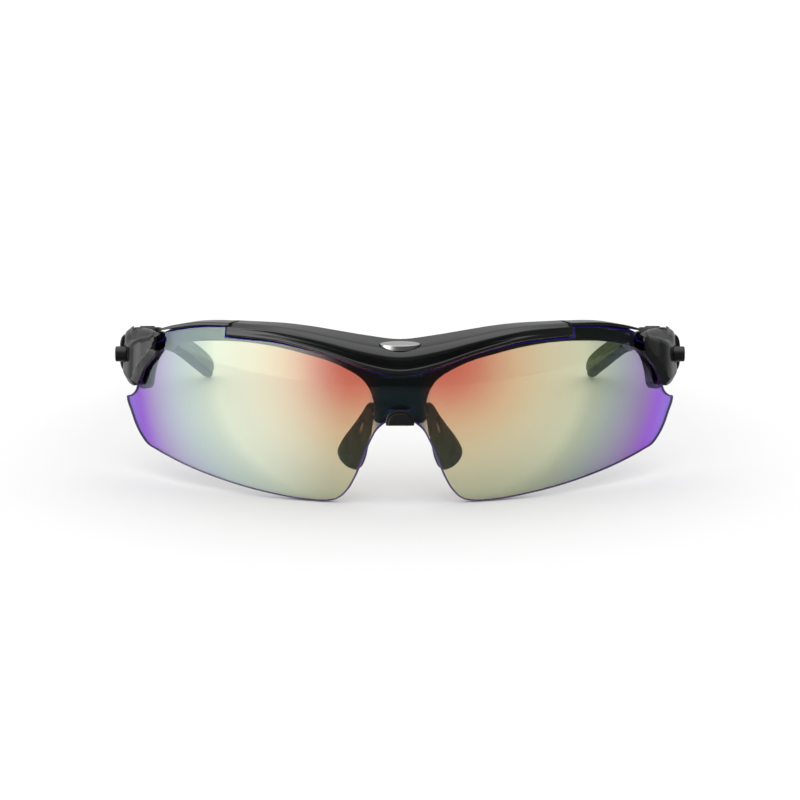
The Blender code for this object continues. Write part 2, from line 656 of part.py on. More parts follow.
def turned(name, profile, finish, place, segments=20):
    """A turned solid or ring from (radius, height) points that run down its outer side."""
    mesh = bpy.data.meshes.new(name)
    closed = all(radius > 0 for radius, _ in profile)
    edges = [(i, i + 1) for i in range(len(profile) - 1)]
    if closed:
        edges.append((len(profile) - 1, 0))
    mesh.from_pydata([(radius * MM, 0, height * MM) for radius, height in profile], edges, [])
    mesh.materials.append(finish)
    made = bpy.data.objects.new(name, mesh)
    parts.objects.link(made)
    step = made.modifiers.new("Turn", "SCREW")
    step.steps = segments
    step.render_steps = segments
    step.use_merge_vertices = True
    step.merge_threshold = 0.00001
    made.parent = seat
    turn = place.to_quaternion()
    made.location = place.to_translation() * MM
    made.rotation_mode = "QUATERNION"
    made.rotation_quaternion = turn
    return made


def make_cap_screw(side, label, finish):
    profile = [(0, 1.0), (0.9, 1.0), (1.25, 0.8), (1.25, 0.3), (0.6, 0.3), (0.6, -5.6), (0, -5.6)]
    return turned(f"end_cap_screw_{label}", profile, finish, cap_screw_place(side), 12)


def button_place(side):
    turn = Matrix.Rotation(side * math.pi / 2, 4, "Y")
    return Matrix.Translation((side * BUTTON_FACE, BUTTON_Y, BUTTON_Z)) @ turn


def make_button(side, label, finish):
    profile = [
        (0, 0), (1.7, 0), (BUTTON_RADIUS, -0.3), (BUTTON_RADIUS, -2.9), (1.55, -2.9),
        (1.55, -1.6), (STEM_RADIUS, -1.6),
        (STEM_RADIUS, -STEM_LENGTH), (0, -STEM_LENGTH),
    ]
    return turned(f"release_button_{label}", profile, finish, button_place(side))


def button_spring_mesh():
    per_turn = 12
    low, high = SPRING_ENDS
    count = int(SPRING_TURNS * per_turn)
    points = []
    for i in range(count + 1):
        angle = 2 * math.pi * i / per_turn
        y = BUTTON_Y + SPRING_RADIUS * math.cos(angle)
        z = BUTTON_Z + SPRING_RADIUS * math.sin(angle)
        points.append((low + (high - low) * i / count, y, z))
    return tube_mesh(points, SPRING_WIRE, 6)


def latch_mesh():
    """Steel strip on the button's stem, whose front end holds the ear of the lens."""
    strip = box_mesh((69.5, 34.6, 29.9), (69.95, 38.2, 32.1))
    bore = cylinder_mesh(STEM_RADIUS + 0.2, 69.0, 71.0, 16, "X", (BUTTON_Y, BUTTON_Z))
    return combine(strip, [bore], "DIFFERENCE")


# ---------------------------------------------------------------- hinges and arms

def hinge_pin_mesh():
    """Screw whose scalloped head shows on top of the hinge."""
    head_low = TAB_TOP + GAP
    head = cylinder_mesh(HEAD_RADIUS, head_low, head_low + HEAD_HEIGHT, 24)
    shank = cylinder_mesh(PIN_RADIUS, PIN_END, head_low + HEAD_HEIGHT / 2, 16)
    flutes = []
    for k in range(FLUTES):
        angle = 2 * math.pi * k / FLUTES
        centre = (HEAD_RADIUS * 1.12 * math.cos(angle), HEAD_RADIUS * 1.12 * math.sin(angle))
        flutes.append(cylinder_mesh(0.42, TAB_TOP - 1.0, DECK_TOP + 2.0, 10, "Z", centre))
    return moved(combine(combine(head, flutes, "DIFFERENCE"), [shank]), hinge_place(1))


def make_hinge_ring(name, side, ring, finish):
    inner, outer, low, high = ring
    profile = [(outer, high), (outer, low), (inner, low), (inner, high)]
    place = hinge_place(side) @ Matrix.Scale(side, 4, (1, 0, 0))
    return turned(name, profile, finish, place, 20)


def arm_ring(entry, shift=0.0, slim=0.0):
    v, u, w, half, reach = entry
    return [(a, v, b) for a, b in rounded((u + shift, w), half - slim, reach, 14, 3.2)]


def wire_path(start, end, step=4.0):
    path = []
    count = round((end - start) / step)
    for i in range(count + 1):
        v = start + (end - start) * i / count
        u, w = station(ARM + SLEEVE, v)[1:3]
        path.append((u, v, w))
    return path


def arm_mesh():
    body = loft_mesh([arm_ring(entry) for entry in ARM])
    knuckle = cylinder_mesh(KNUCKLE_RADIUS, -KNUCKLE_HALF, KNUCKLE_HALF)
    web = box_mesh((0.0, 0.9, -KNUCKLE_HALF), (3.05, 5.6, KNUCKLE_HALF))
    body = combine(body, [knuckle, web])
    pin = cylinder_mesh(PIN_RADIUS + GAP, -4.0, 4.0, 16)
    bore = tube_mesh(wire_path(WIRE_START - 0.5, SLEEVE_START + 2.0), WIRE_RADIUS + GAP)
    return moved(combine(body, [pin, bore], "DIFFERENCE"), hinge_place(1))


def sleeve_mesh():
    slim = GRIP_STEP / 2
    body = loft_mesh([arm_ring(entry, slim, slim if entry[3] > 1.3 else 0.1) for entry in SLEEVE])
    bore = tube_mesh(wire_path(SLEEVE_START - 2.0, WIRE_END + 0.5), WIRE_RADIUS + 0.25)
    return moved(combine(body, [bore], "DIFFERENCE"), hinge_place(1))


def wire_mesh():
    return moved(tube_mesh(wire_path(WIRE_START, WIRE_END), WIRE_RADIUS), hinge_place(1))


def grip_mesh():
    rings = []
    for v, rise, reach in GRIP:
        _, u, w, half, _ = station(SLEEVE, v)
        middle = (u - half + GRIP_STEP - GAP - GRIP_THICKNESS / 2, w + rise)
        rings.append([(a, v, b) for a, b in rounded(middle, GRIP_THICKNESS / 2, reach, 12, 3.0)])
    return moved(loft_mesh(rings), hinge_place(1))


# ---------------------------------------------------------------- assembly

def build():
    global seat
    for old in list(bpy.data.objects):
        bpy.data.objects.remove(old)
    bpy.context.scene.collection.children.link(parts)
    bpy.context.scene.collection.children.link(cutters)
    seat = bpy.data.objects.new("seat", None)
    seat.location = (0.0, FRONT_SHIFT * MM, 0.0)
    bpy.context.scene.collection.objects.link(seat)

    black = material("gloss_black", (0.012, 0.013, 0.014), 0.18)
    satin = material("satin_black", (0.02, 0.02, 0.021), 0.42)
    rubber = material("soft_black", (0.03, 0.03, 0.032), 0.75)
    olive = material("olive_rubber", (0.09, 0.11, 0.045), 0.7)
    steel = material("steel", (0.62, 0.62, 0.6), 0.28, 1.0)
    chrome = material("chrome", (0.85, 0.85, 0.86), 0.1, 1.0)
    tinted = material("mirror_lens", (0.75, 0.5, 0.3), 0.05, 0.6, 0.55)

    make_frame(black)
    make_lens(tinted)
    make_badge(chrome)
    make_nose_clip(satin)
    pairs = [
        ("nose_wire", nose_wire_mesh, steel), ("nose_pad", nose_pad_mesh, rubber),
        ("end_cap", end_cap_mesh, black), ("button_spring", button_spring_mesh, steel),
        ("lens_latch", latch_mesh, steel), ("hinge_pin", hinge_pin_mesh, satin),
        ("temple_arm", arm_mesh, black), ("temple_wire", wire_mesh, steel),
        ("temple_sleeve", sleeve_mesh, rubber), ("temple_grip", grip_mesh, olive),
    ]
    for name, make, finish in pairs:
        add_object(f"{name}_left", make(), finish)
        add_object(f"{name}_right", moved(make(), Matrix.Scale(-1, 4, (1, 0, 0))), finish)
    for side, label in ((1, "left"), (-1, "right")):
        make_cap_screw(side, label, steel)
        make_button(side, label, satin)
        make_hinge_ring(f"hinge_washer_{label}", side, WASHER, steel)
        make_hinge_ring(f"hinge_nut_{label}", side, NUT, steel)


build()
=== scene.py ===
"""Looks of the wraparound sport sunglasses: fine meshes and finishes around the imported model.

Lengths in the geometry code are millimetres, with y = 0 at the front of the lens, and MM turns them
into metres. Front pieces are drawn flat and then wrapped round the face: s runs along the lens from
its middle, depth runs back from its outer face and h is the height. Each arm is drawn in the frame
of its own hinge: u points away from the head, v runs back along the arm and w up the hinge pin.
Left and right are the wearer's, and the left one is at +X.
"""
import math

import bmesh
import bpy
from mathutils import Matrix, Vector


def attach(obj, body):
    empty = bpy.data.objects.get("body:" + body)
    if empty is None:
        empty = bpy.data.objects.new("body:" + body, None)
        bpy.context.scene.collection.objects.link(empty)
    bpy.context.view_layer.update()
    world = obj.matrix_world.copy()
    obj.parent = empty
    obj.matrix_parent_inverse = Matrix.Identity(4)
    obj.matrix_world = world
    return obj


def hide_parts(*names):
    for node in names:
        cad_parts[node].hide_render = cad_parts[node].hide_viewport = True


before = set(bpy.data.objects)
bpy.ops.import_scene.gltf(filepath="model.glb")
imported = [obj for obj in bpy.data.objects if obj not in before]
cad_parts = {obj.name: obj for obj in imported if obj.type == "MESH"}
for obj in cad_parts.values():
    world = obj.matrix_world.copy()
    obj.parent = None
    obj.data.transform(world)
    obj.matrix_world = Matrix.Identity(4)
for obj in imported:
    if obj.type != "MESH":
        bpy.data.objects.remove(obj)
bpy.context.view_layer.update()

MM = 0.001
GAP = 0.3                 # clearance between touching pieces
SIDES = ((1, "left"), (-1, "right"))

# Lens and wrap
BASE_RADIUS = 88.0        # horizontal radius of the outer face
VERTICAL_RADIUS = 130.0   # vertical radius of the outer face
LEAN = math.radians(3.0)  # the top of the lens leans back
MIDDLE_HEIGHT = 22.0      # height at which the outer face reaches furthest forward
LENS_THICKNESS = 2.0
CORNER_START = 76.0       # s where the frame leaves the lens curve and turns back
CORNER_RADIUS = 16.0
CORNER_HEADING = math.radians(86.0)   # direction of the frame's side, from the X axis
STAND_LIFT = 0.35         # raises the lens so that its lowest edge is at the table
FRONT_SHIFT = -70.1       # moves the middle of the whole depth to y = 0

# Half frame behind the lens
WALL_FRONT = LENS_THICKNESS + GAP
WALL_BACK = 5.0
BROW_HALF = 47.2          # s where the brow bar ends and the lens rises past it
BROW_END = -1.3           # front of the brow bar at its ends
BROW_PROUD = 4.4          # how far the middle of the brow stands forward of its ends
BROW_HOLLOW = 2.6         # depth of the groove along the front of the brow
LIP_FRONT = -1.5
LIP_BACK = 3.2

# End caps
CAP_FRONT = -2.4
CAP_SKIN = 1.6
CAP_END = 88.2            # s of the rear edge at the top
CAP_FOOT = 86.5           # and at the bottom, because the arm leans
CAP_BLOCK_BACK = 1.2
CAP_INSIDE = CAP_FRONT + CAP_SKIN + 0.45   # inner face of the skin
FLANGE_BACK = 1.9         # how deep the shelf along the top edge reaches
SCREW_HOLE = 0.9
CAP_SCREW_LENGTH = 5.6
CAP_SCREW_PLACE = (82.5, 26.4)         # s and h
LATCH_ROOM = ((64.0, 33.9, 29.4), (70.3, 38.6, 32.6))
CAP_CHAMFER = 1.7         # width of the bevel along the lower edge
TOP_ROUND = 1.8           # radius of its upper edge
CREASE_S = 78.4           # where the cap's front turns into its side
CREASE_RISE = 0.42
CREASE_REACH = 3.2

# Hinges
HINGE = Vector((66.3, 39.4, 31.4))
ARM_SLOPE = math.radians(11.5)        # the arms fall towards their tips
KNUCKLE_RADIUS = 2.6
KNUCKLE_HALF = 1.6
TAB_LOW = 2.6             # underside of the upper tab
TAB_TOP = 5.3             # seat of the pin's head
TAB_UNDER = -1.9          # upper side of the lower tab
TAB_BOTTOM = -4.2
DECK_RADIUS = 3.7         # the upper tab widens into a round deck, level with the end cap
DECK_TOP = 6.2
PIN_RADIUS = 0.7
PIN_END = -4.0
HEAD_RADIUS = 1.95
HEAD_HEIGHT = 0.9
FLUTES = 8
HINGE_WEB = (-2.35, -0.3)  # u of the webs that join the tabs to the frame
WEB_END = 0.4              # v at which they end
HINGE_ROOM = ((-6.0, -2.95, -7.0), (3.35, 8.0, 9.0))   # cut out of the end cap round the hinge
WASHER = (1.0, 2.4, 1.9, 2.3)         # inner and outer radius, low and high level
NUT = (1.0, 1.6, -4.1, -3.2)

# Release buttons
BUTTON_Y = 37.4
BUTTON_Z = 31.0
BUTTON_RADIUS = 2.0
BUTTON_BORE = 2.3
BUTTON_FACE = 74.6
STEM_RADIUS = 0.7
STEM_LENGTH = 5.2
SPRING_TURNS = 2.5
SPRING_RADIUS = 1.1
SPRING_WIRE = 0.17
SPRING_ENDS = (71.1, 72.7)           # x of its two ends

# Arms
SLEEVE_START = 71.0
ARM_END = 108.0
GRIP_THICKNESS = 0.7
GRIP_STEP = 0.7           # how much thinner the sleeve is on its inner side, for the grip
DIMPLES = 17              # in each row of the grip
DIMPLE_START = 76.0
DIMPLE_END = 103.0
DIMPLE_ROWS = 3
DIMPLE_ROW_STEP = 1.15

# Nose pads
PAD_TURN = math.radians(38.0)         # the pad's face, from the plane of the front
NOSE_WIRE_RADIUS = 0.55

# Badge
BADGE_HALF = (5.05, 2.6)
BADGE_HEIGHT = 1.4
BADGE_PLACE = (0.0, -1.9, 40.4)       # flat place of the middle of its underside
BADGE_TILT = math.radians(2.0)

CORNER = "corner"


# ---------------------------------------------------------------- wrapping and placing

def wrap(point, corner=False):
    """Place in millimetres of a flat place (s, depth, h)."""
    s, depth, h = point
    sag = (h - MIDDLE_HEIGHT) ** 2 / (2 * VERTICAL_RADIUS)
    side = 1 if s >= 0 else -1
    run = abs(s)
    if corner and run > CORNER_START:
        start = CORNER_START / BASE_RADIUS
        turn = min(start + (run - CORNER_START) / CORNER_RADIUS, CORNER_HEADING)
        straight = max(0.0, run - CORNER_START - (CORNER_HEADING - start) * CORNER_RADIUS)
        middle = BASE_RADIUS - CORNER_RADIUS
        reach = CORNER_RADIUS - depth - sag
        x = middle * math.sin(start) + reach * math.sin(turn) + straight * math.cos(turn)
        y = BASE_RADIUS - middle * math.cos(start) - reach * math.cos(turn)
        y += straight * math.sin(turn)
    else:
        reach = BASE_RADIUS - depth - sag
        x = reach * math.sin(run / BASE_RADIUS)
        y = BASE_RADIUS - reach * math.cos(run / BASE_RADIUS)
    z = h - MIDDLE_HEIGHT
    leant_y = y * math.cos(LEAN) + z * math.sin(LEAN)
    leant_z = z * math.cos(LEAN) - y * math.sin(LEAN) + MIDDLE_HEIGHT + STAND_LIFT
    return Vector((side * x, leant_y, leant_z))


def wrap_corner(point):
    return wrap(point, corner=True)


def wrap_cap(point):
    """As wrap_corner, with the outer skin pushed out to a soft vertical crease."""
    s, depth, h = point
    from_crease = math.hypot(abs(s) - CREASE_S, 0.35)
    skin = min(1.0, max(0.0, (-0.4 - depth) / 1.6))
    rise = CREASE_RISE * max(0.0, 1.0 - from_crease / CREASE_REACH) * skin
    return wrap((s, depth - rise, h), corner=True)


def hinge_place(side):
    """Matrix from a hinge's own frame (u, v, w) to millimetres."""
    pivot = Vector((side * HINGE.x, HINGE.y, HINGE.z))
    return Matrix.Translation(pivot) @ Matrix.Rotation(-ARM_SLOPE, 4, "X") @ Matrix.Scale(side, 4, (1, 0, 0))


def cap_screw_place(side):
    """Matrix of the screw that holds an end cap: its +Z points out of the frame's inner face."""
    s, h = CAP_SCREW_PLACE
    base = wrap_corner((side * s, WALL_BACK, h))
    outward = base - wrap_corner((side * s, 0.0, h))
    return Matrix.Translation(base) @ outward.to_track_quat("Z", "X").to_matrix().to_4x4()


def button_place(side):
    turn = Matrix.Rotation(side * math.pi / 2, 4, "Y")
    return Matrix.Translation((side * BUTTON_FACE, BUTTON_Y, BUTTON_Z)) @ turn


# ---------------------------------------------------------------- making meshes

def outline(points, resolution):
    """The points of a smooth closed outline. A point marked CORNER is sharp."""
    curve = bpy.data.curves.new("outline", "CURVE")
    curve.dimensions = "2D"
    curve.fill_mode = "NONE"
    curve.resolution_u = resolution
    spline = curve.splines.new("BEZIER")
    spline.bezier_points.add(len(points) - 1)
    spline.use_cyclic_u = True
    for knot, point in zip(spline.bezier_points, points):
        knot.co = (point[0], point[1], 0.0)
        kind = "VECTOR" if len(point) > 2 else "AUTO"
        knot.handle_left_type = kind
        knot.handle_right_type = kind
    holder = bpy.data.objects.new("outline", curve)
    bpy.context.scene.collection.objects.link(holder)
    bpy.context.view_layer.update()
    evaluated = holder.evaluated_get(bpy.context.evaluated_depsgraph_get())
    mesh = bpy.data.meshes.new_from_object(evaluated)
    smooth = [Vector((v.co.x, v.co.y)) for v in mesh.vertices]
    bpy.data.objects.remove(holder)
    bpy.data.curves.remove(curve)
    bpy.data.meshes.remove(mesh)
    kept = [smooth[0]]
    for point in smooth[1:]:
        if (point - kept[-1]).length > 0.02:
            kept.append(point)
    if (kept[-1] - kept[0]).length < 0.02:
        kept.pop()
    return kept


def inward(points):
    """Unit vectors into a closed outline at each of its points, lengthened at sharp corners."""
    count = len(points)
    area = sum(
        points[i].x * points[(i + 1) % count].y - points[(i + 1) % count].x * points[i].y
        for i in range(count)
    )
    turn = 1.0 if area > 0 else -1.0
    vectors = []
    for i in range(count):
        before = (points[i] - points[i - 1]).normalized()
        after = (points[(i + 1) % count] - points[i]).normalized()
        left = Vector((-before.y, before.x)) + Vector((-after.y, after.x))
        left.normalize()
        share = max(0.5, left.dot(Vector((-after.y, after.x))))
        vectors.append(left * turn / share)
    return vectors


def rounded_layers(front, back, radius, steps=3):
    """Depths and insets of a plate whose two rims are rounded."""
    near = []
    for i in range(steps + 1):
        angle = math.pi / 2 * i / steps
        near.append((front + radius * (1 - math.cos(angle)), radius * (1 - math.sin(angle))))
    far = [(front + back - depth, inset) for depth, inset in reversed(near)]
    return near + far


def plate(points, layers, resolution=8):
    """Flat plate from its outline. Each layer has a depth and how far the outline moves in there."""
    edge = outline(points, resolution)
    into = inward(edge)
    rings = []
    for depth, inset in layers:
        ring = []
        for place, direction in zip(edge, into):
            shift = inset(place, direction) if callable(inset) else inset
            moved_place = place + direction * shift
            ring.append((moved_place.x, depth, moved_place.y))
        rings.append(ring)
    return loft(rings)


def loft(rings):
    """Closed body through rings of the same number of points."""
    bm = bmesh.new()
    loops = [[bm.verts.new(point) for point in ring] for ring in rings]
    for near, far in zip(loops, loops[1:]):
        for i, corner in enumerate(near):
            after = (i + 1) % len(near)
            bm.faces.new((corner, near[after], far[after], far[i]))
    bm.faces.new(loops[0][::-1])
    bm.faces.new(loops[-1])
    bmesh.ops.recalc_face_normals(bm, faces=bm.faces)
    return bm


def bend(bm, place, s_step=1.5, h_step=3.0):
    """Cut a flat body into small strips and wrap every point, so that it follows the curve."""
    for axis, step in (("x", s_step), ("z", h_step)):
        values = [getattr(v.co, axis) for v in bm.verts]
        low, high = min(values), max(values)
        count = max(1, round((high - low) / step))
        normal = (1, 0, 0) if axis == "x" else (0, 0, 1)
        for i in range(1, count):
            level = low + (high - low) * i / count
            geometry = bm.verts[:] + bm.edges[:] + bm.faces[:]
            where = tuple(level * n for n in normal)
            bmesh.ops.bisect_plane(bm, geom=geometry, dist=0.002, plane_co=where, plane_no=normal)
    for vert in bm.verts:
        vert.co = place(vert.co)
    return bm


def box(low, high, rounding=0.0):
    bm = bmesh.new()
    size = [b - a for a, b in zip(low, high)]
    middle = [(a + b) / 2 for a, b in zip(low, high)]
    bmesh.ops.create_cube(bm, size=1.0, matrix=Matrix.Translation(middle) @ Matrix.Diagonal((*size, 1)))
    if rounding:
        bmesh.ops.bevel(bm, geom=bm.edges[:], offset=rounding, segments=3, profile=0.5, affect="EDGES")
    return bm


def turned(profile, steps=48):
    """A turned solid or ring about Z, from (radius, height) points down its outer side."""
    bm = bmesh.new()
    line = [bm.verts.new((radius, 0, height)) for radius, height in profile]
    if all(radius > 0 for radius, _ in profile):
        line.append(line[0])
    edges = [bm.edges.new(pair) for pair in zip(line, line[1:])]
    bmesh.ops.spin(
        bm, geom=list({v for e in edges for v in e.verts}) + edges, cent=(0, 0, 0), axis=(0, 0, 1),
        angle=2 * math.pi, steps=steps, use_merge=True,
    )
    bmesh.ops.remove_doubles(bm, verts=bm.verts, dist=0.0005)
    bmesh.ops.recalc_face_normals(bm, faces=bm.faces)
    return bm


def cylinder(radius, low, high, steps=48):
    return turned([(0, high), (radius, high), (radius, low), (0, low)], steps)


def soft_cylinder(radius, low, high, rounding, steps=48):
    """A cylinder about Z with rounded rims."""
    rim = []
    for i in range(4):
        angle = math.pi / 2 * i / 3
        rim.append((radius - rounding * (1 - math.sin(angle)), high - rounding * (1 - math.cos(angle))))
    foot = [(r, low + high - h) for r, h in reversed(rim)]
    return turned([(0, high), *rim, *foot, (0, low)], steps)


def moved(bm, matrix):
    bmesh.ops.transform(bm, matrix=matrix, verts=bm.verts)
    bmesh.ops.recalc_face_normals(bm, faces=bm.faces)
    return bm


def mirrored(bm):
    """The same piece for the wearer's right side."""
    return moved(bm, Matrix.Scale(-1, 4, (1, 0, 0)))


def loose_object(bm, name="blank"):
    mesh = bpy.data.meshes.new(name)
    bm.to_mesh(mesh)
    bm.free()
    made = bpy.data.objects.new(name, mesh)
    bpy.context.scene.collection.objects.link(made)
    return made


def combine(first, others, operation="UNION"):
    """Join or cut millimetre meshes."""
    holder = loose_object(first)
    tools = [loose_object(other) for other in others]
    for tool in tools:
        step = holder.modifiers.new("Combine", "BOOLEAN")
        step.operation = operation
        step.object = tool
        step.solver = "MANIFOLD"
    bpy.context.view_layer.update()
    evaluated = holder.evaluated_get(bpy.context.evaluated_depsgraph_get())
    mesh = bpy.data.meshes.new_from_object(evaluated)
    bm = bmesh.new()
    bm.from_mesh(mesh)
    bmesh.ops.remove_doubles(bm, verts=bm.verts, dist=0.0005)
    for used in [holder, *tools]:
        bpy.data.objects.remove(used)
    bpy.data.meshes.remove(mesh)
    return bm


def along(table, s):
    """Height at s, on a smooth curve through a table of (s, h)."""
    s = abs(s)
    for i in range(len(table) - 1):
        (s0, h0), (s1, h1) = table[i], table[i + 1]
        if s <= s1 or i == len(table) - 2:
            before = table[i - 1] if i else (-table[1][0], table[1][1])
            after = table[i + 2] if i + 2 < len(table) else (2 * s1 - s0, 2 * h1 - h0)
            slope0 = (h1 - before[1]) / (s1 - before[0])
            slope1 = (after[1] - h0) / (after[0] - s0)
            t = (s - s0) / (s1 - s0)
            run = s1 - s0
            return (
                h0 * (1 + 2 * t) * (1 - t) ** 2 + slope0 * run * t * (1 - t) ** 2
                + h1 * t * t * (3 - 2 * t) + slope1 * run * t * t * (t - 1)
            )


def through(points, per_span, closed=False):
    """Points on a smooth curve through the given points."""
    places = [Vector(p) for p in points]
    count = len(places)
    spans = count if closed else count - 1
    smooth = []
    for i in range(spans):
        if closed:
            a, b, c, d = (places[(i + k) % count] for k in (-1, 0, 1, 2))
        else:
            b, c = places[i], places[i + 1]
            a = places[i - 1] if i else 2 * b - c
            d = places[i + 2] if i + 2 < count else 2 * c - b
        for k in range(per_span):
            t = k / per_span
            smooth.append(
                0.5 * (2 * b + (c - a) * t + (2 * a - 5 * b + 4 * c - d) * t ** 2
                       + (3 * b - a - 3 * c + d) * t ** 3)
            )
    if not closed:
        smooth.append(places[-1])
    return smooth


def flipped(points):
    """The same outline on the other side of the face, still running the same way round."""
    return [(-point[0], *point[1:]) for point in reversed(points)]


def rounded(centre, half, reach, count=40, squareness=3.0):
    """Points of a rounded rectangle: half and reach are its half sizes along two axes."""
    ring = []
    for k in range(count):
        angle = 2 * math.pi * (k + 0.5) / count
        a, b = math.cos(angle), math.sin(angle)
        size = (abs(a) ** squareness + abs(b) ** squareness) ** (-1 / squareness)
        ring.append((centre[0] + half * a * size, centre[1] + reach * b * size))
    return ring


def final_mesh(made, sharp):
    """Bake an object's modifiers and even normals into a plain mesh in metres at the origin."""
    made.data.shade_smooth()
    made.data.set_sharp_from_angle(angle=math.radians(sharp))
    step = made.modifiers.new("Even normals", "WEIGHTED_NORMAL")
    step.keep_sharp = True
    step.weight = 80
    bpy.context.view_layer.update()
    evaluated = made.evaluated_get(bpy.context.evaluated_depsgraph_get())
    mesh = bpy.data.meshes.new_from_object(evaluated)
    made.modifiers.clear()
    old = made.data
    made.data = mesh
    bpy.data.meshes.remove(old)
    mesh.name = made.name
    return made


def add_piece(name, bm, finishes, body, nodes, sharp=32.0):
    """A finished piece from a millimetre bmesh, riding on a body in place of CAD nodes."""
    for vert in bm.verts:
        vert.co = (vert.co + Vector((0, FRONT_SHIFT, 0))) * MM
    made = loose_object(bm, name)
    for finish in finishes:
        made.data.materials.append(finish)
    final_mesh(made, sharp)
    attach(made, body)
    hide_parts(*nodes)
    return made


# ---------------------------------------------------------------- outlines, for s > 0

LENS_HALF = [
    (2.3, 21.1, CORNER), (3.8, 21.1, CORNER), (5.8, 19.3), (7.3, 16.7), (8.7, 13.6), (10.5, 9.1),
    (11.9, 6.1), (13.8, 3.1), (16.2, 1.0), (19.2, 0.1), (24.0, 0.05), (33.2, 0.9), (53.2, 4.2),
    (72.6, 8.7), (75.7, 9.6), (78.0, 11.3), (80.4, 14.0), (82.4, 17.4), (84.2, 20.6),
    (84.2, 21.5, CORNER), (82.2, 22.1), (80.2, 23.5), (79.2, 25.4), (79.0, 27.5), (79.4, 34.0),
    (79.0, 34.6, CORNER), (69.3, 38.2, CORNER), (68.6, 40.4, CORNER), (63.1, 41.8), (56.2, 43.1),
    (47.6, 43.9, CORNER), (47.6, 41.2, CORNER),
]
BROW_LOW = [(0.0, 33.8), (8.3, 35.3), (17.9, 38.4), (28.5, 40.7), (34.1, 41.3), (47.2, 41.5)]
BROW_TOP = [(0.0, 41.9), (9.1, 42.8), (16.9, 43.8), (25.0, 44.7), (33.4, 45.1), (47.2, 44.8)]
LIP = [
    (46.0, 44.2, CORNER), (56.2, 43.4), (63.1, 42.1), (68.9, 40.7, CORNER), (69.2, 41.2, CORNER),
    (63.1, 42.9), (56.3, 44.15), (46.0, 44.95, CORNER),
]
CAP_EDGE_LOW = [
    (70.6, 34.0), (71.8, 32.8), (74.5, 30.0), (76.2, 26.8), (77.2, 25.4), (79.4, 25.2),
    (83.0, 25.6), (CAP_FOOT, 26.5, CORNER),
]
CAP_EDGE_TOP = [
    (CAP_END, 38.6, CORNER), (84.0, 37.9), (81.8, 37.3), (80.0, 37.1), (76.4, 38.2), (73.0, 39.2),
    (71.2, 39.9), (70.1, 39.6), (69.6, 38.5), (69.6, 36.7), (69.9, 35.1),
]
CAP_BLOCK = [
    (81.2, 25.5, CORNER), (83.0, 25.6), (CAP_FOOT, 26.5, CORNER), (CAP_END, 38.6, CORNER),
    (84.0, 37.9), (81.2, 37.2, CORNER),
]
CAP_FLANGE = [
    (71.2, 38.1, CORNER), (73.0, 37.5), (76.4, 36.3), (80.0, 35.3), (82.0, 35.3, CORNER),
    (82.0, 37.3, CORNER), (80.0, 37.1), (76.4, 38.2), (73.0, 39.2), (71.2, 39.8, CORNER),
]
LENS_EAR = [
    (62.0, 24.0, CORNER), (80.3, 24.0, CORNER), (80.3, 34.9, CORNER), (70.0, 38.45, CORNER),
    (69.4, 41.5, CORNER), (62.0, 42.0, CORNER),
]
MOUTH = [(67.0, 35.7, CORNER), (71.2, 35.7), (72.1, 37.2), (71.4, 38.7), (67.0, 38.9, CORNER)]
MOUTH_FRONT = -1.75

# Room that the dome leaves over the frame's side
WALL_ROOM = [
    (74.0, 33.0, CORNER), (81.0, 33.0, CORNER), (81.0, 37.3, CORNER), (76.4, 38.4, CORNER),
    (74.0, 39.1, CORNER),
]
# Dome over the hinge: s and h on the cap's top edge, then the dome's inner end (u, v, w) at the hinge
CAP_DOME = [
    (71.7, 39.7, -2.5, -12.1, 4.9), (73.0, 39.2, -2.7, -9.9, 5.2), (74.8, 38.7, -1.5, -6.7, 5.75),
    (76.4, 38.2, 0.6, -4.1, 6.1), (78.4, 37.6, 1.3, -2.7, 6.2), (80.0, 37.1, 2.0, -2.3, 6.2),
    (81.8, 37.3, 2.5, -1.7, 6.2), (84.0, 37.9, 2.9, -0.9, 6.2), (86.0, 38.3, 3.0, 0.1, 6.2),
    (88.0, 38.6, 2.9, 1.1, 6.2),
]
DOME_EDGE = (-1.3, 0.15)  # depth of its outer rim, and how far that lies below the cap's top edge
DOME_THICKNESS = 1.0
DOME_BULGE = 0.5
DOME_STEPS = 10

# Arm stations: v, centre u, centre w, half thickness, half height
ARM = [
    (3.2, 5.15, -0.6, 2.40, 4.95), (6.0, 5.10, -0.4, 2.40, 4.80), (12.0, 5.0, 0.0, 2.30, 4.30),
    (22.0, 4.7, 0.6, 2.20, 3.90), (35.0, 4.1, 1.3, 2.10, 3.40), (50.0, 3.0, 1.9, 2.00, 2.90),
    (60.0, 1.4, 1.8, 1.95, 2.60), (SLEEVE_START, -1.5, 0.9, 1.9, 2.45),
]
SLEEVE = [
    (SLEEVE_START + GAP, -1.6, 0.9, 1.9, 2.45), (78.0, -3.4, -0.2, 1.9, 2.45),
    (84.0, -4.9, -1.6, 1.9, 2.5), (90.0, -6.4, -3.1, 1.9, 2.6), (96.0, -7.9, -4.7, 1.85, 2.7),
    (101.0, -9.2, -6.1, 1.8, 2.7), (105.0, -10.2, -7.5, 1.6, 2.45),
    (107.2, -10.8, -8.3, 1.2, 1.75), (ARM_END, -11.0, -8.7, 0.6, 0.9),
]
# Grip stations: v, rise of its middle above the sleeve's, half height
GRIP = [(73.5, 0.2, 1.0), (75.5, 0.3, 1.8), (84.0, 0.35, 2.0), (96.0, 0.35, 2.1), (103.0, 0.3, 1.7),
        (104.6, 0.2, 1.0)]

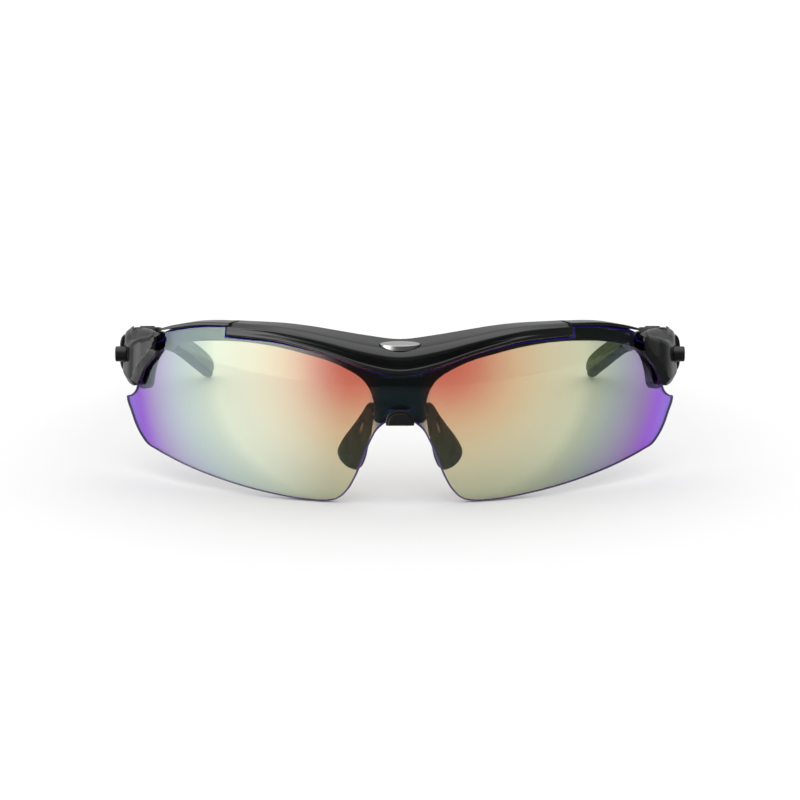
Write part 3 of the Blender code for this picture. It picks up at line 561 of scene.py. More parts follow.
# Nose pad sections, left side: z, centre x, centre y, half width, half thickness
PAD = [
    (25.0, 7.1, 8.0, 0.7, 0.5), (24.2, 7.3, 8.2, 1.3, 0.95), (21.6, 8.2, 9.1, 1.9, 1.2),
    (18.0, 9.6, 10.6, 2.9, 1.35), (14.5, 11.1, 11.8, 3.9, 1.4), (11.0, 12.2, 12.6, 4.5, 1.4),
    (8.8, 12.3, 12.7, 3.8, 1.3), (7.3, 11.9, 12.3, 2.4, 1.05), (6.7, 11.5, 12.0, 1.0, 0.6),
]
NOSE_PIVOT = Vector((3.4, 7.0, 22.8))
NOSE_WIRE = [
    (2.6, 7.0, 22.8), (4.6, 7.1, 22.8), (6.0, 7.7, 22.5), (7.5, 8.8, 21.6), (8.7, 9.9, 19.8),
    (9.7, 10.7, 17.6), (10.7, 11.5, 15.4),
]
# A hollow and a long fold in the front of each pad: x and z
PAD_HOLLOW = [(13.5, 14.2), (13.9, 10.6), (12.4, 10.1), (12.5, 11.4), (13.1, 12.6)]
PAD_FOLD = [(9.6, 20.4), (10.2, 20.2), (11.5, 13.8), (11.2, 9.3), (10.5, 9.2), (10.4, 13.8)]


def lens_outline():
    under_brow = [(s, along(BROW_LOW, s) - GAP) for s in (42.0, 34.0, 26.0, 18.0, 10.0, 4.0)]
    half = LENS_HALF + under_brow
    notch_top = [(-2.3, 24.2, CORNER), (2.3, 24.2, CORNER)]
    return notch_top + half + flipped(half)


def wall_outline():
    top = [(s, along(BROW_TOP, s) - 0.7) for s in (7.0, 16.0, 25.0, 34.0, 42.0)]
    half = [
        (2.3, 20.9, CORNER), (5.9, 20.9), (6.7, 21.6), (6.7, 23.8), (7.1, 27.1), (8.6, 30.4),
        (10.7, 32.5), (13.5, 34.1), (19.0, 36.3), (24.6, 37.6), (30.4, 38.7), (36.3, 39.4),
        (43.0, 39.7), (50.6, 39.4), (59.2, 38.4), (66.6, 36.6), (70.6, 35.2), (73.4, 33.4),
        (74.9, 31.1), (76.1, 27.6), (76.9, 25.1), (78.4, 24.0), (80.0, 23.8), (84.2, 23.8, CORNER),
        (84.2, 28.0, CORNER), (80.6, 28.4, CORNER), (80.6, 36.9, CORNER), (76.4, 38.0), (73.0, 39.0),
        (69.6, 40.5), (68.0, 41.35), (63.1, 42.7), (56.3, 43.8), (48.5, 44.5),
    ]
    slot_top = [(-2.3, 24.2, CORNER), (2.3, 24.2, CORNER)]
    return slot_top + half + top[::-1] + flipped(top[::-1]) + flipped(half)


def brow_ring(s, inset=0.0):
    """Section of the brow bar at s, as (s, depth, h) points from the rear top edge round the front."""
    middle = math.cos(math.pi / 2 * min(1.0, abs(s) / BROW_HALF)) ** 2
    top = along(BROW_TOP, s) - inset
    low = along(BROW_LOW, s) + inset
    tall = top - low
    proud = BROW_END - BROW_PROUD * middle + inset
    hollow = BROW_HOLLOW * middle
    profile = [
        (4.6, top - 0.35),
        (3.9, top),
        (proud + 1.6 + 1.2 * middle, top - 0.10 * tall * (0.35 + middle)),
        (proud + 0.9, top - (0.12 + 0.12 * middle) * tall),
        (proud, top - (0.28 + 0.14 * middle) * tall),
        (proud + 0.5 * hollow + 0.1, top - (0.46 + 0.08 * middle) * tall),
        (proud + hollow, top - (0.62 + 0.02 * middle) * tall),
        (proud + 0.55 * hollow, top - (0.74 + 0.06 * middle) * tall),
        (proud + 0.5 * hollow + 0.1, low + (0.12 - 0.04 * middle) * tall),
        (proud + 0.8 * hollow + 0.5, low),
        (WALL_FRONT + 1.2, low),
        (WALL_FRONT + 1.2, top - 1.6),
        (4.6, top - 1.3),
    ]
    round_part = through(profile[1:10], 5)
    return [(s, depth, h) for depth, h in [profile[0], *round_part, *profile[10:]]]


# ---------------------------------------------------------------- front pieces

def brow_mesh():
    end_rounding = 0.8
    stations = []
    for k in range(5):
        angle = math.pi / 2 * k / 5
        s = BROW_HALF - end_rounding * (1 - math.cos(angle))
        stations.append((s, end_rounding * (1 - math.sin(angle))))
    stations.reverse()
    inner = BROW_HALF - end_rounding
    count = 60
    line = [(-s, inset) for s, inset in reversed(stations)]
    line += [(inner * (2 * i / count - 1), 0.0) for i in range(count + 1)]
    line += stations
    rings = [brow_ring(s, inset) for s, inset in line]
    return loft([[wrap(point) for point in ring] for ring in rings])


def frame_mesh():
    wall = bend(plate(wall_outline(), rounded_layers(WALL_FRONT, WALL_BACK, 0.45)), wrap_corner)
    lips = []
    for points in (LIP, flipped(LIP)):
        lips.append(bend(plate(points, rounded_layers(LIP_FRONT, LIP_BACK, 0.2)), wrap))
    body = combine(wall, [brow_mesh(), *lips])
    for side, _ in SIDES:
        place = hinge_place(side)
        inner, outer = HINGE_WEB
        upper_web = box((inner, -4.4, TAB_LOW), (outer, WEB_END, DECK_TOP - 0.4), 0.2)
        deck = combine(soft_cylinder(DECK_RADIUS, TAB_LOW, DECK_TOP, 0.4, 64), [upper_web])
        deck = combine(deck, [cylinder(HEAD_RADIUS + GAP, TAB_TOP, DECK_TOP + 2)], "DIFFERENCE")
        lugs = [
            moved(deck, place),
            moved(box((inner, -4.2, TAB_BOTTOM), (outer, WEB_END, TAB_UNDER)), place),
            moved(soft_cylinder(KNUCKLE_RADIUS, TAB_BOTTOM, TAB_UNDER, 0.25), place),
        ]
        body = combine(body, lugs)
        holes = [
            moved(cylinder(PIN_RADIUS + GAP, TAB_BOTTOM - 2, DECK_TOP), place),
            moved(cylinder(NUT[1] + GAP, TAB_BOTTOM - 2, NUT[3] + GAP), place),
            moved(cylinder(KNUCKLE_RADIUS + 0.35, TAB_UNDER + 0.05, TAB_LOW - 0.05), place),
            moved(cylinder(SCREW_HOLE, -5.0, 2.0, 24), cap_screw_place(side)),
        ]
        body = combine(body, holes, "DIFFERENCE")
    return combine(body, [badge_mesh(GAP, 2.0)], "DIFFERENCE")


def badge_mesh(extra=0.0, above=0.0):
    """The oval plate on top of the brow; extra and above make the recess that it sits in."""
    bm = cylinder(1.0, 0.0, 1.0) if extra else soft_cylinder(1.0, 0.0, 1.0, 0.1)
    for vert in bm.verts:
        vert.co.x *= BADGE_HALF[0] + extra
        vert.co.y *= BADGE_HALF[1] + extra
        vert.co.z = vert.co.z * (BADGE_HEIGHT + extra + above) - extra
    return moved(bm, Matrix.Translation(wrap(BADGE_PLACE)) @ Matrix.Rotation(BADGE_TILT, 4, "X"))


def lens_mesh():
    bm = plate(lens_outline(), rounded_layers(0.0, LENS_THICKNESS, 0.45, 3), 12)
    for face in bm.faces:
        face.material_index = 0 if abs(face.normal.y) > 0.97 else 1
    return bend(bm, wrap, 1.5, 2.5)


def clip_mesh():
    face = [(-3.5, 20.8, CORNER), (3.5, 20.8, CORNER), (3.5, 22.3), (2.6, 24.1), (0.0, 24.9),
            (-2.6, 24.1), (-3.5, 22.3)]
    raised = [(-2.9, 20.9, CORNER), (2.9, 20.9, CORNER), (2.9, 22.0), (2.1, 23.4), (0.0, 24.1),
              (-2.1, 23.4), (-2.9, 22.0)]
    front = plate(face, rounded_layers(-1.9, -0.35, 0.3), 10)
    solids = [
        plate(raised, rounded_layers(-2.5, -1.2, 0.25), 10),
        box((-1.9, -0.8, 21.2), (1.9, 5.8, 23.8)),
        box((-4.0, 5.35, 20.0), (4.0, 8.4, 25.4), 0.5),
    ]
    body = combine(front, solids)
    for vert in body.verts:
        vert.co = wrap(vert.co)
    bores = []
    for side, _ in SIDES:
        turn = Matrix.Rotation(side * math.pi / 2, 4, "Y")
        place = Matrix.Translation((0, NOSE_PIVOT.y, NOSE_PIVOT.z)) @ turn
        bores.append(moved(cylinder(NOSE_WIRE_RADIUS + 0.4, 2.0, 6.0, 32), place))
    return combine(body, bores, "DIFFERENCE")


def tube(points, radius, sides=16):
    """A round bar through points in millimetres, with flat ends."""
    rings = []
    for i, point in enumerate(points):
        ahead = Vector(points[min(i + 1, len(points) - 1)])
        behind = Vector(points[max(i - 1, 0)])
        turn = (ahead - behind).to_track_quat("Z", "X")
        ring = []
        for k in range(sides):
            angle = 2 * math.pi * k / sides
            ring.append(Vector(point) + turn @ Vector((math.cos(angle), math.sin(angle), 0)) * radius)
        rings.append(ring)
    return loft(rings)


def nose_wire_mesh():
    return tube(through(NOSE_WIRE, 6), NOSE_WIRE_RADIUS)


def nose_pad_mesh():
    rings = []
    for z, x, y, half, thick in through(PAD, 5):
        ring = []
        for a, b in rounded((0, 0), half, thick, 32, 2.4):
            across = a * math.cos(PAD_TURN) - b * math.sin(PAD_TURN)
            ring.append((x + across, y + a * math.sin(PAD_TURN) + b * math.cos(PAD_TURN), z))
        rings.append(ring)
    end = Vector(NOSE_WIRE[-1])
    beyond = end + (end - Vector(NOSE_WIRE[-2])).normalized() * 0.5
    bore = tube(through([*NOSE_WIRE[1:-1], beyond], 6), NOSE_WIRE_RADIUS + GAP)
    hollow = plate(PAD_HOLLOW, [(6.0, 0.0), (12.4, 0.0)])
    fold = plate(PAD_FOLD, [(5.0, 0.0), (10.2, 0.0)])
    return combine(loft(rings), [bore, hollow, fold], "DIFFERENCE")


# ---------------------------------------------------------------- end caps and buttons

def cap_layers():
    """The cap's lower edge has a flat bevel, its top a large round and its ends a small one."""
    def inset_at(depth):
        bevel = max(0.0, 1.0 - depth / 0.95)
        round_off = TOP_ROUND - math.sqrt(max(0.0, TOP_ROUND ** 2 - max(0.0, TOP_ROUND - depth) ** 2))

        def inset(place, direction):
            low = min(1.0, max(0.0, (direction.y + 0.15) / 0.5))
            low = low * low * (3 - 2 * low)
            top = min(1.0, max(0.0, (-0.35 - direction.y) / 0.45))
            top = top * top * (3 - 2 * top)
            side = 0.4 * bevel * bevel
            return low * CAP_CHAMFER * bevel + top * round_off + (1 - low) * (1 - top) * side
        return inset
    steps = (0.0, 0.08, 0.2, 0.35, 0.55, 0.75, 0.95, 1.3, TOP_ROUND)
    return [(CAP_FRONT + depth, inset_at(depth)) for depth in steps]


def cap_dome_mesh():
    """The end cap's top, which rises from its edge to the round deck of the hinge."""
    place = hinge_place(1)
    under = Vector((0, 0, DOME_THICKNESS))
    rings = []
    for s, h, *inner in CAP_DOME:
        edge = place.inverted() @ wrap_corner((s, DOME_EDGE[0], h - DOME_EDGE[1]))
        end = Vector(inner)
        top = []
        for k in range(DOME_STEPS + 1):
            t = k / DOME_STEPS
            top.append(edge.lerp(end, t) + under * DOME_BULGE * math.sin(math.pi * t))
        rings.append([place @ point for point in top + [point - under for point in reversed(top)]])
    return loft(rings)


def end_cap_mesh():
    """Left end cap, in millimetres."""
    layers = [*cap_layers(), (CAP_INSIDE, 0.0)]
    skin = plate(CAP_EDGE_LOW + CAP_EDGE_TOP, layers, 10)
    block = plate(CAP_BLOCK, [(-0.8, 0.0), (CAP_BLOCK_BACK, 0.0)], 8)
    flange = plate(CAP_FLANGE, [(-0.8, 0.0), (FLANGE_BACK, 0.0)], 8)
    body = bend(combine(skin, [block, flange]), wrap_cap, 1.0, 2.0)
    across = Matrix.Translation((0, BUTTON_Y, BUTTON_Z)) @ Matrix.Rotation(math.pi / 2, 4, "Y")
    cuts = [
        bend(plate(LENS_EAR, [(-0.35, 0.0), (2.6, 0.0)]), wrap, 1.5, 3.0),
        bend(plate(MOUTH, [(MOUTH_FRONT, 0.0), (-0.1, 0.0)]), wrap, 1.5, 3.0),
        moved(cylinder(BUTTON_BORE, 70.8, 76.0), across),
        moved(cylinder(STEM_RADIUS + GAP, 66.0, 76.0), across),
        box(*LATCH_ROOM),
        moved(cylinder(SCREW_HOLE, -6.2, 2.0, 24), cap_screw_place(1)),
        moved(box(*HINGE_ROOM), hinge_place(1)),
    ]
    domed = combine(combine(body, cuts, "DIFFERENCE"), [cap_dome_mesh()])
    deck = moved(cylinder(DECK_RADIUS + GAP, TAB_LOW - GAP, 9.0, 64), hinge_place(1))
    room = bend(plate(WALL_ROOM, [(2.0, 0.0), (WALL_BACK + GAP, 0.0)]), wrap_corner, 1.5, 3.0)
    return combine(domed, [deck, room], "DIFFERENCE")


def cap_screw_mesh(side):
    profile = [
        (0, 1.0), (0.75, 1.0), (1.05, 0.93), (1.25, 0.75), (1.25, 0.3), (0.6, 0.3),
        (0.6, -CAP_SCREW_LENGTH), (0, -CAP_SCREW_LENGTH),
    ]
    return moved(turned(profile, 32), cap_screw_place(side))


def button_mesh(side):
    profile = [
        (0, -0.12), (1.25, -0.12), (1.4, 0), (1.6, 0), (1.82, -0.06), (1.95, -0.18),
        (BUTTON_RADIUS, -0.38), (BUTTON_RADIUS, -2.9), (1.55, -2.9), (1.55, -1.6),
        (STEM_RADIUS, -1.6), (STEM_RADIUS, -STEM_LENGTH), (0, -STEM_LENGTH),
    ]
    return moved(turned(profile, 48), button_place(side))


# ---------------------------------------------------------------- hinges and arms

def fluted_head_tree():
    """Cuts a ring of round flutes down the sides of a screw head that stands on the Z axis."""
    tree = bpy.data.node_groups.new("fluted_head", "GeometryNodeTree")
    for name, kind in (
        ("Geometry", "Geometry"), ("Flutes", "Int"), ("Flute circle", "Float"),
        ("Flute radius", "Float"), ("Middle height", "Vector"), ("Material", "Material"),
    ):
        tree.interface.new_socket(name, in_out="INPUT", socket_type=f"NodeSocket{kind}")
    tree.interface.new_socket("Geometry", in_out="OUTPUT", socket_type="NodeSocketGeometry")
    nodes = tree.nodes
    links = tree.links

    given = nodes.new("NodeGroupInput")
    given.label = "Plain head"
    ring = nodes.new("GeometryNodeMeshCircle")
    ring.label = "Where the flutes stand"
    cutter = nodes.new("GeometryNodeMeshCylinder")
    cutter.label = "One flute"
    cutter.inputs["Vertices"].default_value = 20
    cutter.inputs["Depth"].default_value = 4.0
    stand = nodes.new("GeometryNodeInstanceOnPoints")
    stand.label = "Flutes round the head"
    lift = nodes.new("GeometryNodeTransform")
    lift.label = "Up to the head"
    solid = nodes.new("GeometryNodeRealizeInstances")
    solid.label = "Solid flutes"
    cut = nodes.new("GeometryNodeMeshBoolean")
    cut.label = "Cut the flutes"
    cut.operation = "DIFFERENCE"
    cut.solver = "MANIFOLD"
    whole = nodes.new("GeometryNodeRealizeInstances")
    whole.label = "Plain mesh"
    coat = nodes.new("GeometryNodeSetMaterial")
    coat.label = "Finish"
    result = nodes.new("NodeGroupOutput")

    for node, spot in (
        (given, (-900, 0)), (ring, (-600, -150)), (cutter, (-600, -400)), (stand, (-350, -200)),
        (lift, (-150, -200)), (solid, (50, -200)), (cut, (250, 0)), (whole, (450, 0)),
        (coat, (650, 0)), (result, (850, 0)),
    ):
        node.location = spot

    links.new(given.outputs["Flutes"], ring.inputs["Vertices"])
    links.new(given.outputs["Flute circle"], ring.inputs["Radius"])
    links.new(given.outputs["Flute radius"], cutter.inputs["Radius"])
    links.new(ring.outputs["Mesh"], stand.inputs["Points"])
    links.new(cutter.outputs["Mesh"], stand.inputs["Instance"])
    links.new(stand.outputs["Instances"], lift.inputs["Geometry"])
    links.new(given.outputs["Middle height"], lift.inputs["Translation"])
    links.new(lift.outputs["Geometry"], solid.inputs["Geometry"])
    links.new(given.outputs["Geometry"], cut.inputs["Mesh 1"])
    links.new(solid.outputs["Geometry"], cut.inputs["Mesh 2"])
    links.new(cut.outputs["Mesh"], whole.inputs["Geometry"])
    links.new(whole.outputs["Geometry"], coat.inputs["Geometry"])
    links.new(given.outputs["Material"], coat.inputs["Material"])
    links.new(coat.outputs["Geometry"], result.inputs["Geometry"])
    return tree


def coil_tree():
    """A round wire wound into a coil along Z, from its turns, radius, length and wire radius."""
    tree = bpy.data.node_groups.new("coil", "GeometryNodeTree")
    for name, kind in (
        ("Geometry", "Geometry"), ("Turns", "Float"), ("Coil radius", "Float"),
        ("Length", "Float"), ("Wire radius", "Float"), ("Material", "Material"),
    ):
        tree.interface.new_socket(name, in_out="INPUT", socket_type=f"NodeSocket{kind}")
    tree.interface.new_socket("Geometry", in_out="OUTPUT", socket_type="NodeSocketGeometry")
    nodes = tree.nodes
    links = tree.links

    given = nodes.new("NodeGroupInput")
    given.label = "Measures"
    line = nodes.new("GeometryNodeCurveSpiral")
    line.label = "Middle line of the wire"
    line.inputs["Resolution"].default_value = 36
    section = nodes.new("GeometryNodeCurvePrimitiveCircle")
    section.label = "Section of the wire"
    section.inputs["Resolution"].default_value = 12
    wire = nodes.new("GeometryNodeCurveToMesh")
    wire.label = "Wire along the line"
    wire.inputs["Fill Caps"].default_value = True
    whole = nodes.new("GeometryNodeRealizeInstances")
    whole.label = "Plain mesh"
    coat = nodes.new("GeometryNodeSetMaterial")
    coat.label = "Finish"
    result = nodes.new("NodeGroupOutput")

    for node, spot in (
        (given, (-700, 0)), (line, (-400, 100)), (section, (-400, -200)), (wire, (-100, 0)),
        (whole, (100, 0)), (coat, (300, 0)), (result, (500, 0)),
    ):
        node.location = spot

    links.new(given.outputs["Turns"], line.inputs["Rotations"])
    links.new(given.outputs["Coil radius"], line.inputs["Start Radius"])
    links.new(given.outputs["Coil radius"], line.inputs["End Radius"])
    links.new(given.outputs["Length"], line.inputs["Height"])
    links.new(given.outputs["Wire radius"], section.inputs["Radius"])
    links.new(line.outputs["Curve"], wire.inputs["Curve"])
    links.new(section.outputs["Curve"], wire.inputs["Profile Curve"])
    links.new(wire.outputs["Mesh"], whole.inputs["Geometry"])
    links.new(whole.outputs["Geometry"], coat.inputs["Geometry"])
    links.new(given.outputs["Material"], coat.inputs["Material"])
    links.new(coat.outputs["Geometry"], result.inputs["Geometry"])
    return tree


def grown(bm, tree, values):
    """Run a node tree on a mesh, with its inputs set by name, and return the mesh it makes."""
    made = loose_object(bm)
    step = made.modifiers.new(tree.name, "NODES")
    step.node_group = tree
    for item in tree.interface.items_tree:
        if item.in_out == "INPUT" and item.name in values:
            step[item.identifier] = values[item.name]
    bpy.context.view_layer.update()
    evaluated = made.evaluated_get(bpy.context.evaluated_depsgraph_get())
    mesh = bpy.data.meshes.new_from_object(evaluated)
    result = bmesh.new()
    result.from_mesh(mesh)
    bmesh.ops.remove_doubles(result, verts=result.verts, dist=0.0005)
    bmesh.ops.recalc_face_normals(result, faces=result.faces)
    bpy.data.objects.remove(made)
    bpy.data.meshes.remove(mesh)
    return result


def hinge_pin_mesh(tree, finish):
    """Screw whose fluted head shows on top of the hinge."""
    low = TAB_TOP + GAP
    head = grown(soft_cylinder(HEAD_RADIUS, low, low + HEAD_HEIGHT, 0.15), tree, {
        "Flutes": FLUTES, "Flute circle": HEAD_RADIUS * 1.1, "Flute radius": 0.36,
        "Middle height": (0.0, 0.0, low), "Material": finish,
    })
    shank = cylinder(PIN_RADIUS, PIN_END, low + 0.1, 32)
    return moved(combine(head, [shank]), hinge_place(1))


def spring_mesh(tree, finish):
    low, high = SPRING_ENDS
    coil = grown(bmesh.new(), tree, {
        "Turns": SPRING_TURNS, "Coil radius": SPRING_RADIUS, "Length": high - low,
        "Wire radius": SPRING_WIRE, "Material": finish,
    })
    turn = Matrix.Rotation(math.pi / 2, 4, "Y")
    return moved(coil, Matrix.Translation((low, BUTTON_Y, BUTTON_Z)) @ turn)


def hinge_ring_mesh(side, ring):
    inner, outer, low, high = ring
    profile = [(outer - 0.06, high), (outer, high - 0.06), (outer, low + 0.06), (outer - 0.06, low),
               (inner, low), (inner, high)]
    return moved(turned(profile, 40), hinge_place(side))


def bar_rings(table, per_span, shift=0.0, slim=0.0):
    rings = []
    for v, u, w, half, reach in through(table, per_span):
        rings.append([(a, v, b) for a, b in rounded((u + shift, w), half - slim, reach, 44, 3.2)])
    return rings


def round_first(rings, depth, steps=4):
    """Start a bar with a rounded rim: its first ring is repeated, smaller and further out."""
    first = rings[0]
    centre = sum((Vector(p) for p in first), Vector()) / len(first)
    rim = []
    for k in range(steps):
        angle = math.pi / 2 * k / steps
        inset = depth * (1 - math.sin(angle))
        ring = []
        for point in first:
            out = Vector(point) - centre
            place = Vector(point) - out.normalized() * inset
            ring.append((place.x, point[1] + depth * (1 - math.cos(angle)), place.z))
        rim.append(ring)
    return rim + [[(p[0], p[1] + depth, p[2]) for p in first]] + rings[1:]


def arm_mesh():
    body = loft(round_first(bar_rings(ARM, 7), 0.5))
    knuckle = cylinder(KNUCKLE_RADIUS, -KNUCKLE_HALF, KNUCKLE_HALF)
    web = box((0.0, 0.9, -KNUCKLE_HALF), (3.05, 5.6, KNUCKLE_HALF))
    body = combine(body, [knuckle, web])
    return moved(combine(body, [cylinder(PIN_RADIUS + GAP, -4.0, 4.0, 32)], "DIFFERENCE"), hinge_place(1))


def sleeve_mesh():
    rings = []
    for v, u, w, half, reach in through(SLEEVE, 7):
        slim = min(GRIP_STEP / 2, max(0.1, (half - 1.0) * 0.6))
        rings.append([(a, v, b) for a, b in rounded((u + GRIP_STEP / 2, w), half - slim, reach, 44, 3.2)])
    return moved(loft(round_first(rings, 0.3)), hinge_place(1))


def dimple_tree():
    """Presses rows of long hollows into a grip, at the points of a second mesh."""
    tree = bpy.data.node_groups.new("dimples", "GeometryNodeTree")
    for name, kind in (
        ("Geometry", "Geometry"), ("Places", "Object"), ("Size", "Vector"), ("Turn", "Vector"),
        ("Material", "Material"),
    ):
        tree.interface.new_socket(name, in_out="INPUT", socket_type=f"NodeSocket{kind}")
    tree.interface.new_socket("Geometry", in_out="OUTPUT", socket_type="NodeSocketGeometry")
    nodes = tree.nodes
    links = tree.links

    given = nodes.new("NodeGroupInput")
    given.label = "Plain grip"
    places = nodes.new("GeometryNodeObjectInfo")
    places.label = "Where the hollows are"
    drop = nodes.new("GeometryNodeMeshIcoSphere")
    drop.label = "One hollow"
    drop.inputs["Radius"].default_value = 1.0
    drop.inputs["Subdivisions"].default_value = 3
    pressed = nodes.new("GeometryNodeInstanceOnPoints")
    pressed.label = "Hollows in rows"
    solid = nodes.new("GeometryNodeRealizeInstances")
    solid.label = "Solid hollows"
    cut = nodes.new("GeometryNodeMeshBoolean")
    cut.label = "Press them in"
    cut.operation = "DIFFERENCE"
    cut.solver = "MANIFOLD"
    whole = nodes.new("GeometryNodeRealizeInstances")
    whole.label = "Plain mesh"
    coat = nodes.new("GeometryNodeSetMaterial")
    coat.label = "Finish"
    result = nodes.new("NodeGroupOutput")

    for node, spot in (
        (given, (-900, 0)), (places, (-650, -150)), (drop, (-650, -400)), (pressed, (-350, -200)),
        (solid, (-100, -200)), (cut, (150, 0)), (whole, (350, 0)), (coat, (550, 0)),
        (result, (750, 0)),
    ):
        node.location = spot

    links.new(given.outputs["Places"], places.inputs["Object"])
    links.new(places.outputs["Geometry"], pressed.inputs["Points"])
    links.new(drop.outputs["Mesh"], pressed.inputs["Instance"])
    links.new(given.outputs["Size"], pressed.inputs["Scale"])
    links.new(given.outputs["Turn"], pressed.inputs["Rotation"])
    links.new(pressed.outputs["Instances"], solid.inputs["Geometry"])
    links.new(given.outputs["Geometry"], cut.inputs["Mesh 1"])
    links.new(solid.outputs["Geometry"], cut.inputs["Mesh 2"])
    links.new(cut.outputs["Mesh"], whole.inputs["Geometry"])
    links.new(whole.outputs["Geometry"], coat.inputs["Geometry"])
    links.new(given.outputs["Material"], coat.inputs["Material"])
    links.new(coat.outputs["Geometry"], result.inputs["Geometry"])
    return tree


def grip_mesh(tree, finish):
    """Soft strip on the inner side of the sleeve, with rows of long dimples."""
    rings = []
    for v, rise, reach in through(GRIP, 6):
        u, w, half = sleeve_at(v)
        middle = (u - half + GRIP_STEP - GAP - GRIP_THICKNESS / 2, w + rise)
        rings.append([(a, v, b) for a, b in rounded(middle, GRIP_THICKNESS / 2, reach, 32, 3.0)])
    rows = bmesh.new()
    for row in range(DIMPLE_ROWS):
        for k in range(DIMPLES):
            v = DIMPLE_START + (DIMPLE_END - DIMPLE_START) * (k + 0.5 * (row % 2)) / DIMPLES
            u, w, half = sleeve_at(v)
            face = u - half + GRIP_STEP - GAP - GRIP_THICKNESS
            rows.verts.new((face - 0.1, v, w + 0.35 + DIMPLE_ROW_STEP * (row - 1)))
    spots = loose_object(rows, "dimple_places")
    strip = grown(loft(rings), tree, {
        "Places": spots, "Size": (0.34, 0.62, 0.26), "Turn": (-0.24, 0.0, 0.26), "Material": finish,
    })
    bpy.data.objects.remove(spots)
    return moved(strip, hinge_place(1))


def sleeve_at(v):
    """Centre u, centre w and half thickness of the sleeve at v."""
    entry = next(i for i in range(len(SLEEVE) - 1) if v <= SLEEVE[i + 1][0])
    near, far = SLEEVE[entry], SLEEVE[entry + 1]
    t = (v - near[0]) / (far[0] - near[0])
    return [a + (b - a) * t for a, b in zip(near[1:4], far[1:4])]


# ---------------------------------------------------------------- finishes

def moulded_plastic(name, colour, roughness, roughness_spread, grain_height, gloss_level):
    """Injection-moulded black nylon: faint flow marks, uneven polish and a fine grain."""
    finish = bpy.data.materials.new(name)
    finish.use_nodes = True
    nodes = finish.node_tree.nodes
    links = finish.node_tree.links
    nodes.clear()

    output = nodes.new("ShaderNodeOutputMaterial")
    output.label = "Finished surface"
    plastic = nodes.new("ShaderNodeBsdfPrincipled")
    plastic.label = "Black nylon"
    plastic.inputs["Specular IOR Level"].default_value = gloss_level
    plastic.inputs["IOR"].default_value = 1.5
    place = nodes.new("ShaderNodeTexCoord")
    place.label = "Place on the moulding"

    colour_frame = nodes.new("NodeFrame")
    colour_frame.label = "Flow marks in the colour"
    flow = nodes.new("ShaderNodeTexNoise")
    flow.label = "Flow of the melt"
    flow.parent = colour_frame
    flow.inputs["Scale"].default_value = 45.0
    flow.inputs["Detail"].default_value = 3.0
    flow.inputs["Distortion"].default_value = 1.2
    shade = nodes.new("ShaderNodeValToRGB")
    shade.label = "Deeper and lighter black"
    shade.parent = colour_frame
    shade.color_ramp.elements[0].position = 0.3
    shade.color_ramp.elements[0].color = (*[0.8 * c for c in colour], 1.0)
    shade.color_ramp.elements[1].position = 0.75
    shade.color_ramp.elements[1].color = (*[1.3 * c for c in colour], 1.0)

    polish_frame = nodes.new("NodeFrame")
    polish_frame.label = "Uneven polish"
    haze = nodes.new("ShaderNodeTexNoise")
    haze.label = "Haze from handling"
    haze.parent = polish_frame
    haze.inputs["Scale"].default_value = 220.0
    haze.inputs["Detail"].default_value = 4.0
    polish = nodes.new("ShaderNodeMapRange")
    polish.label = "Polished to hazy"
    polish.parent = polish_frame
    polish.inputs["From Min"].default_value = 0.3
    polish.inputs["From Max"].default_value = 0.7
    polish.inputs["To Min"].default_value = roughness - roughness_spread
    polish.inputs["To Max"].default_value = roughness + roughness_spread

    grain_frame = nodes.new("NodeFrame")
    grain_frame.label = "Moulded grain"
    grain = nodes.new("ShaderNodeTexNoise")
    grain.label = "Spark-eroded grain"
    grain.parent = grain_frame
    grain.inputs["Scale"].default_value = 3200.0
    grain.inputs["Detail"].default_value = 2.0
    relief = nodes.new("ShaderNodeBump")
    relief.label = "Grain height"
    relief.parent = grain_frame
    relief.inputs["Strength"].default_value = 0.35
    relief.inputs["Distance"].default_value = grain_height

    for node, spot in (
        (output, (700, 0)), (plastic, (400, 0)), (place, (-1100, 0)), (flow, (-700, 300)),
        (shade, (-400, 300)), (haze, (-700, 0)), (polish, (-400, 0)), (grain, (-700, -300)),
        (relief, (-100, -300)),
    ):
        node.location = spot

    links.new(place.outputs["Object"], flow.inputs["Vector"])
    links.new(flow.outputs["Fac"], shade.inputs["Fac"])
    links.new(shade.outputs["Color"], plastic.inputs["Base Color"])
    links.new(place.outputs["Object"], haze.inputs["Vector"])
    links.new(haze.outputs["Fac"], polish.inputs["Value"])
    links.new(polish.outputs["Result"], plastic.inputs["Roughness"])
    links.new(place.outputs["Object"], grain.inputs["Vector"])
    links.new(grain.outputs["Fac"], relief.inputs["Height"])
    links.new(relief.outputs["Normal"], plastic.inputs["Normal"])
    links.new(plastic.outputs["BSDF"], output.inputs["Surface"])
    return finish


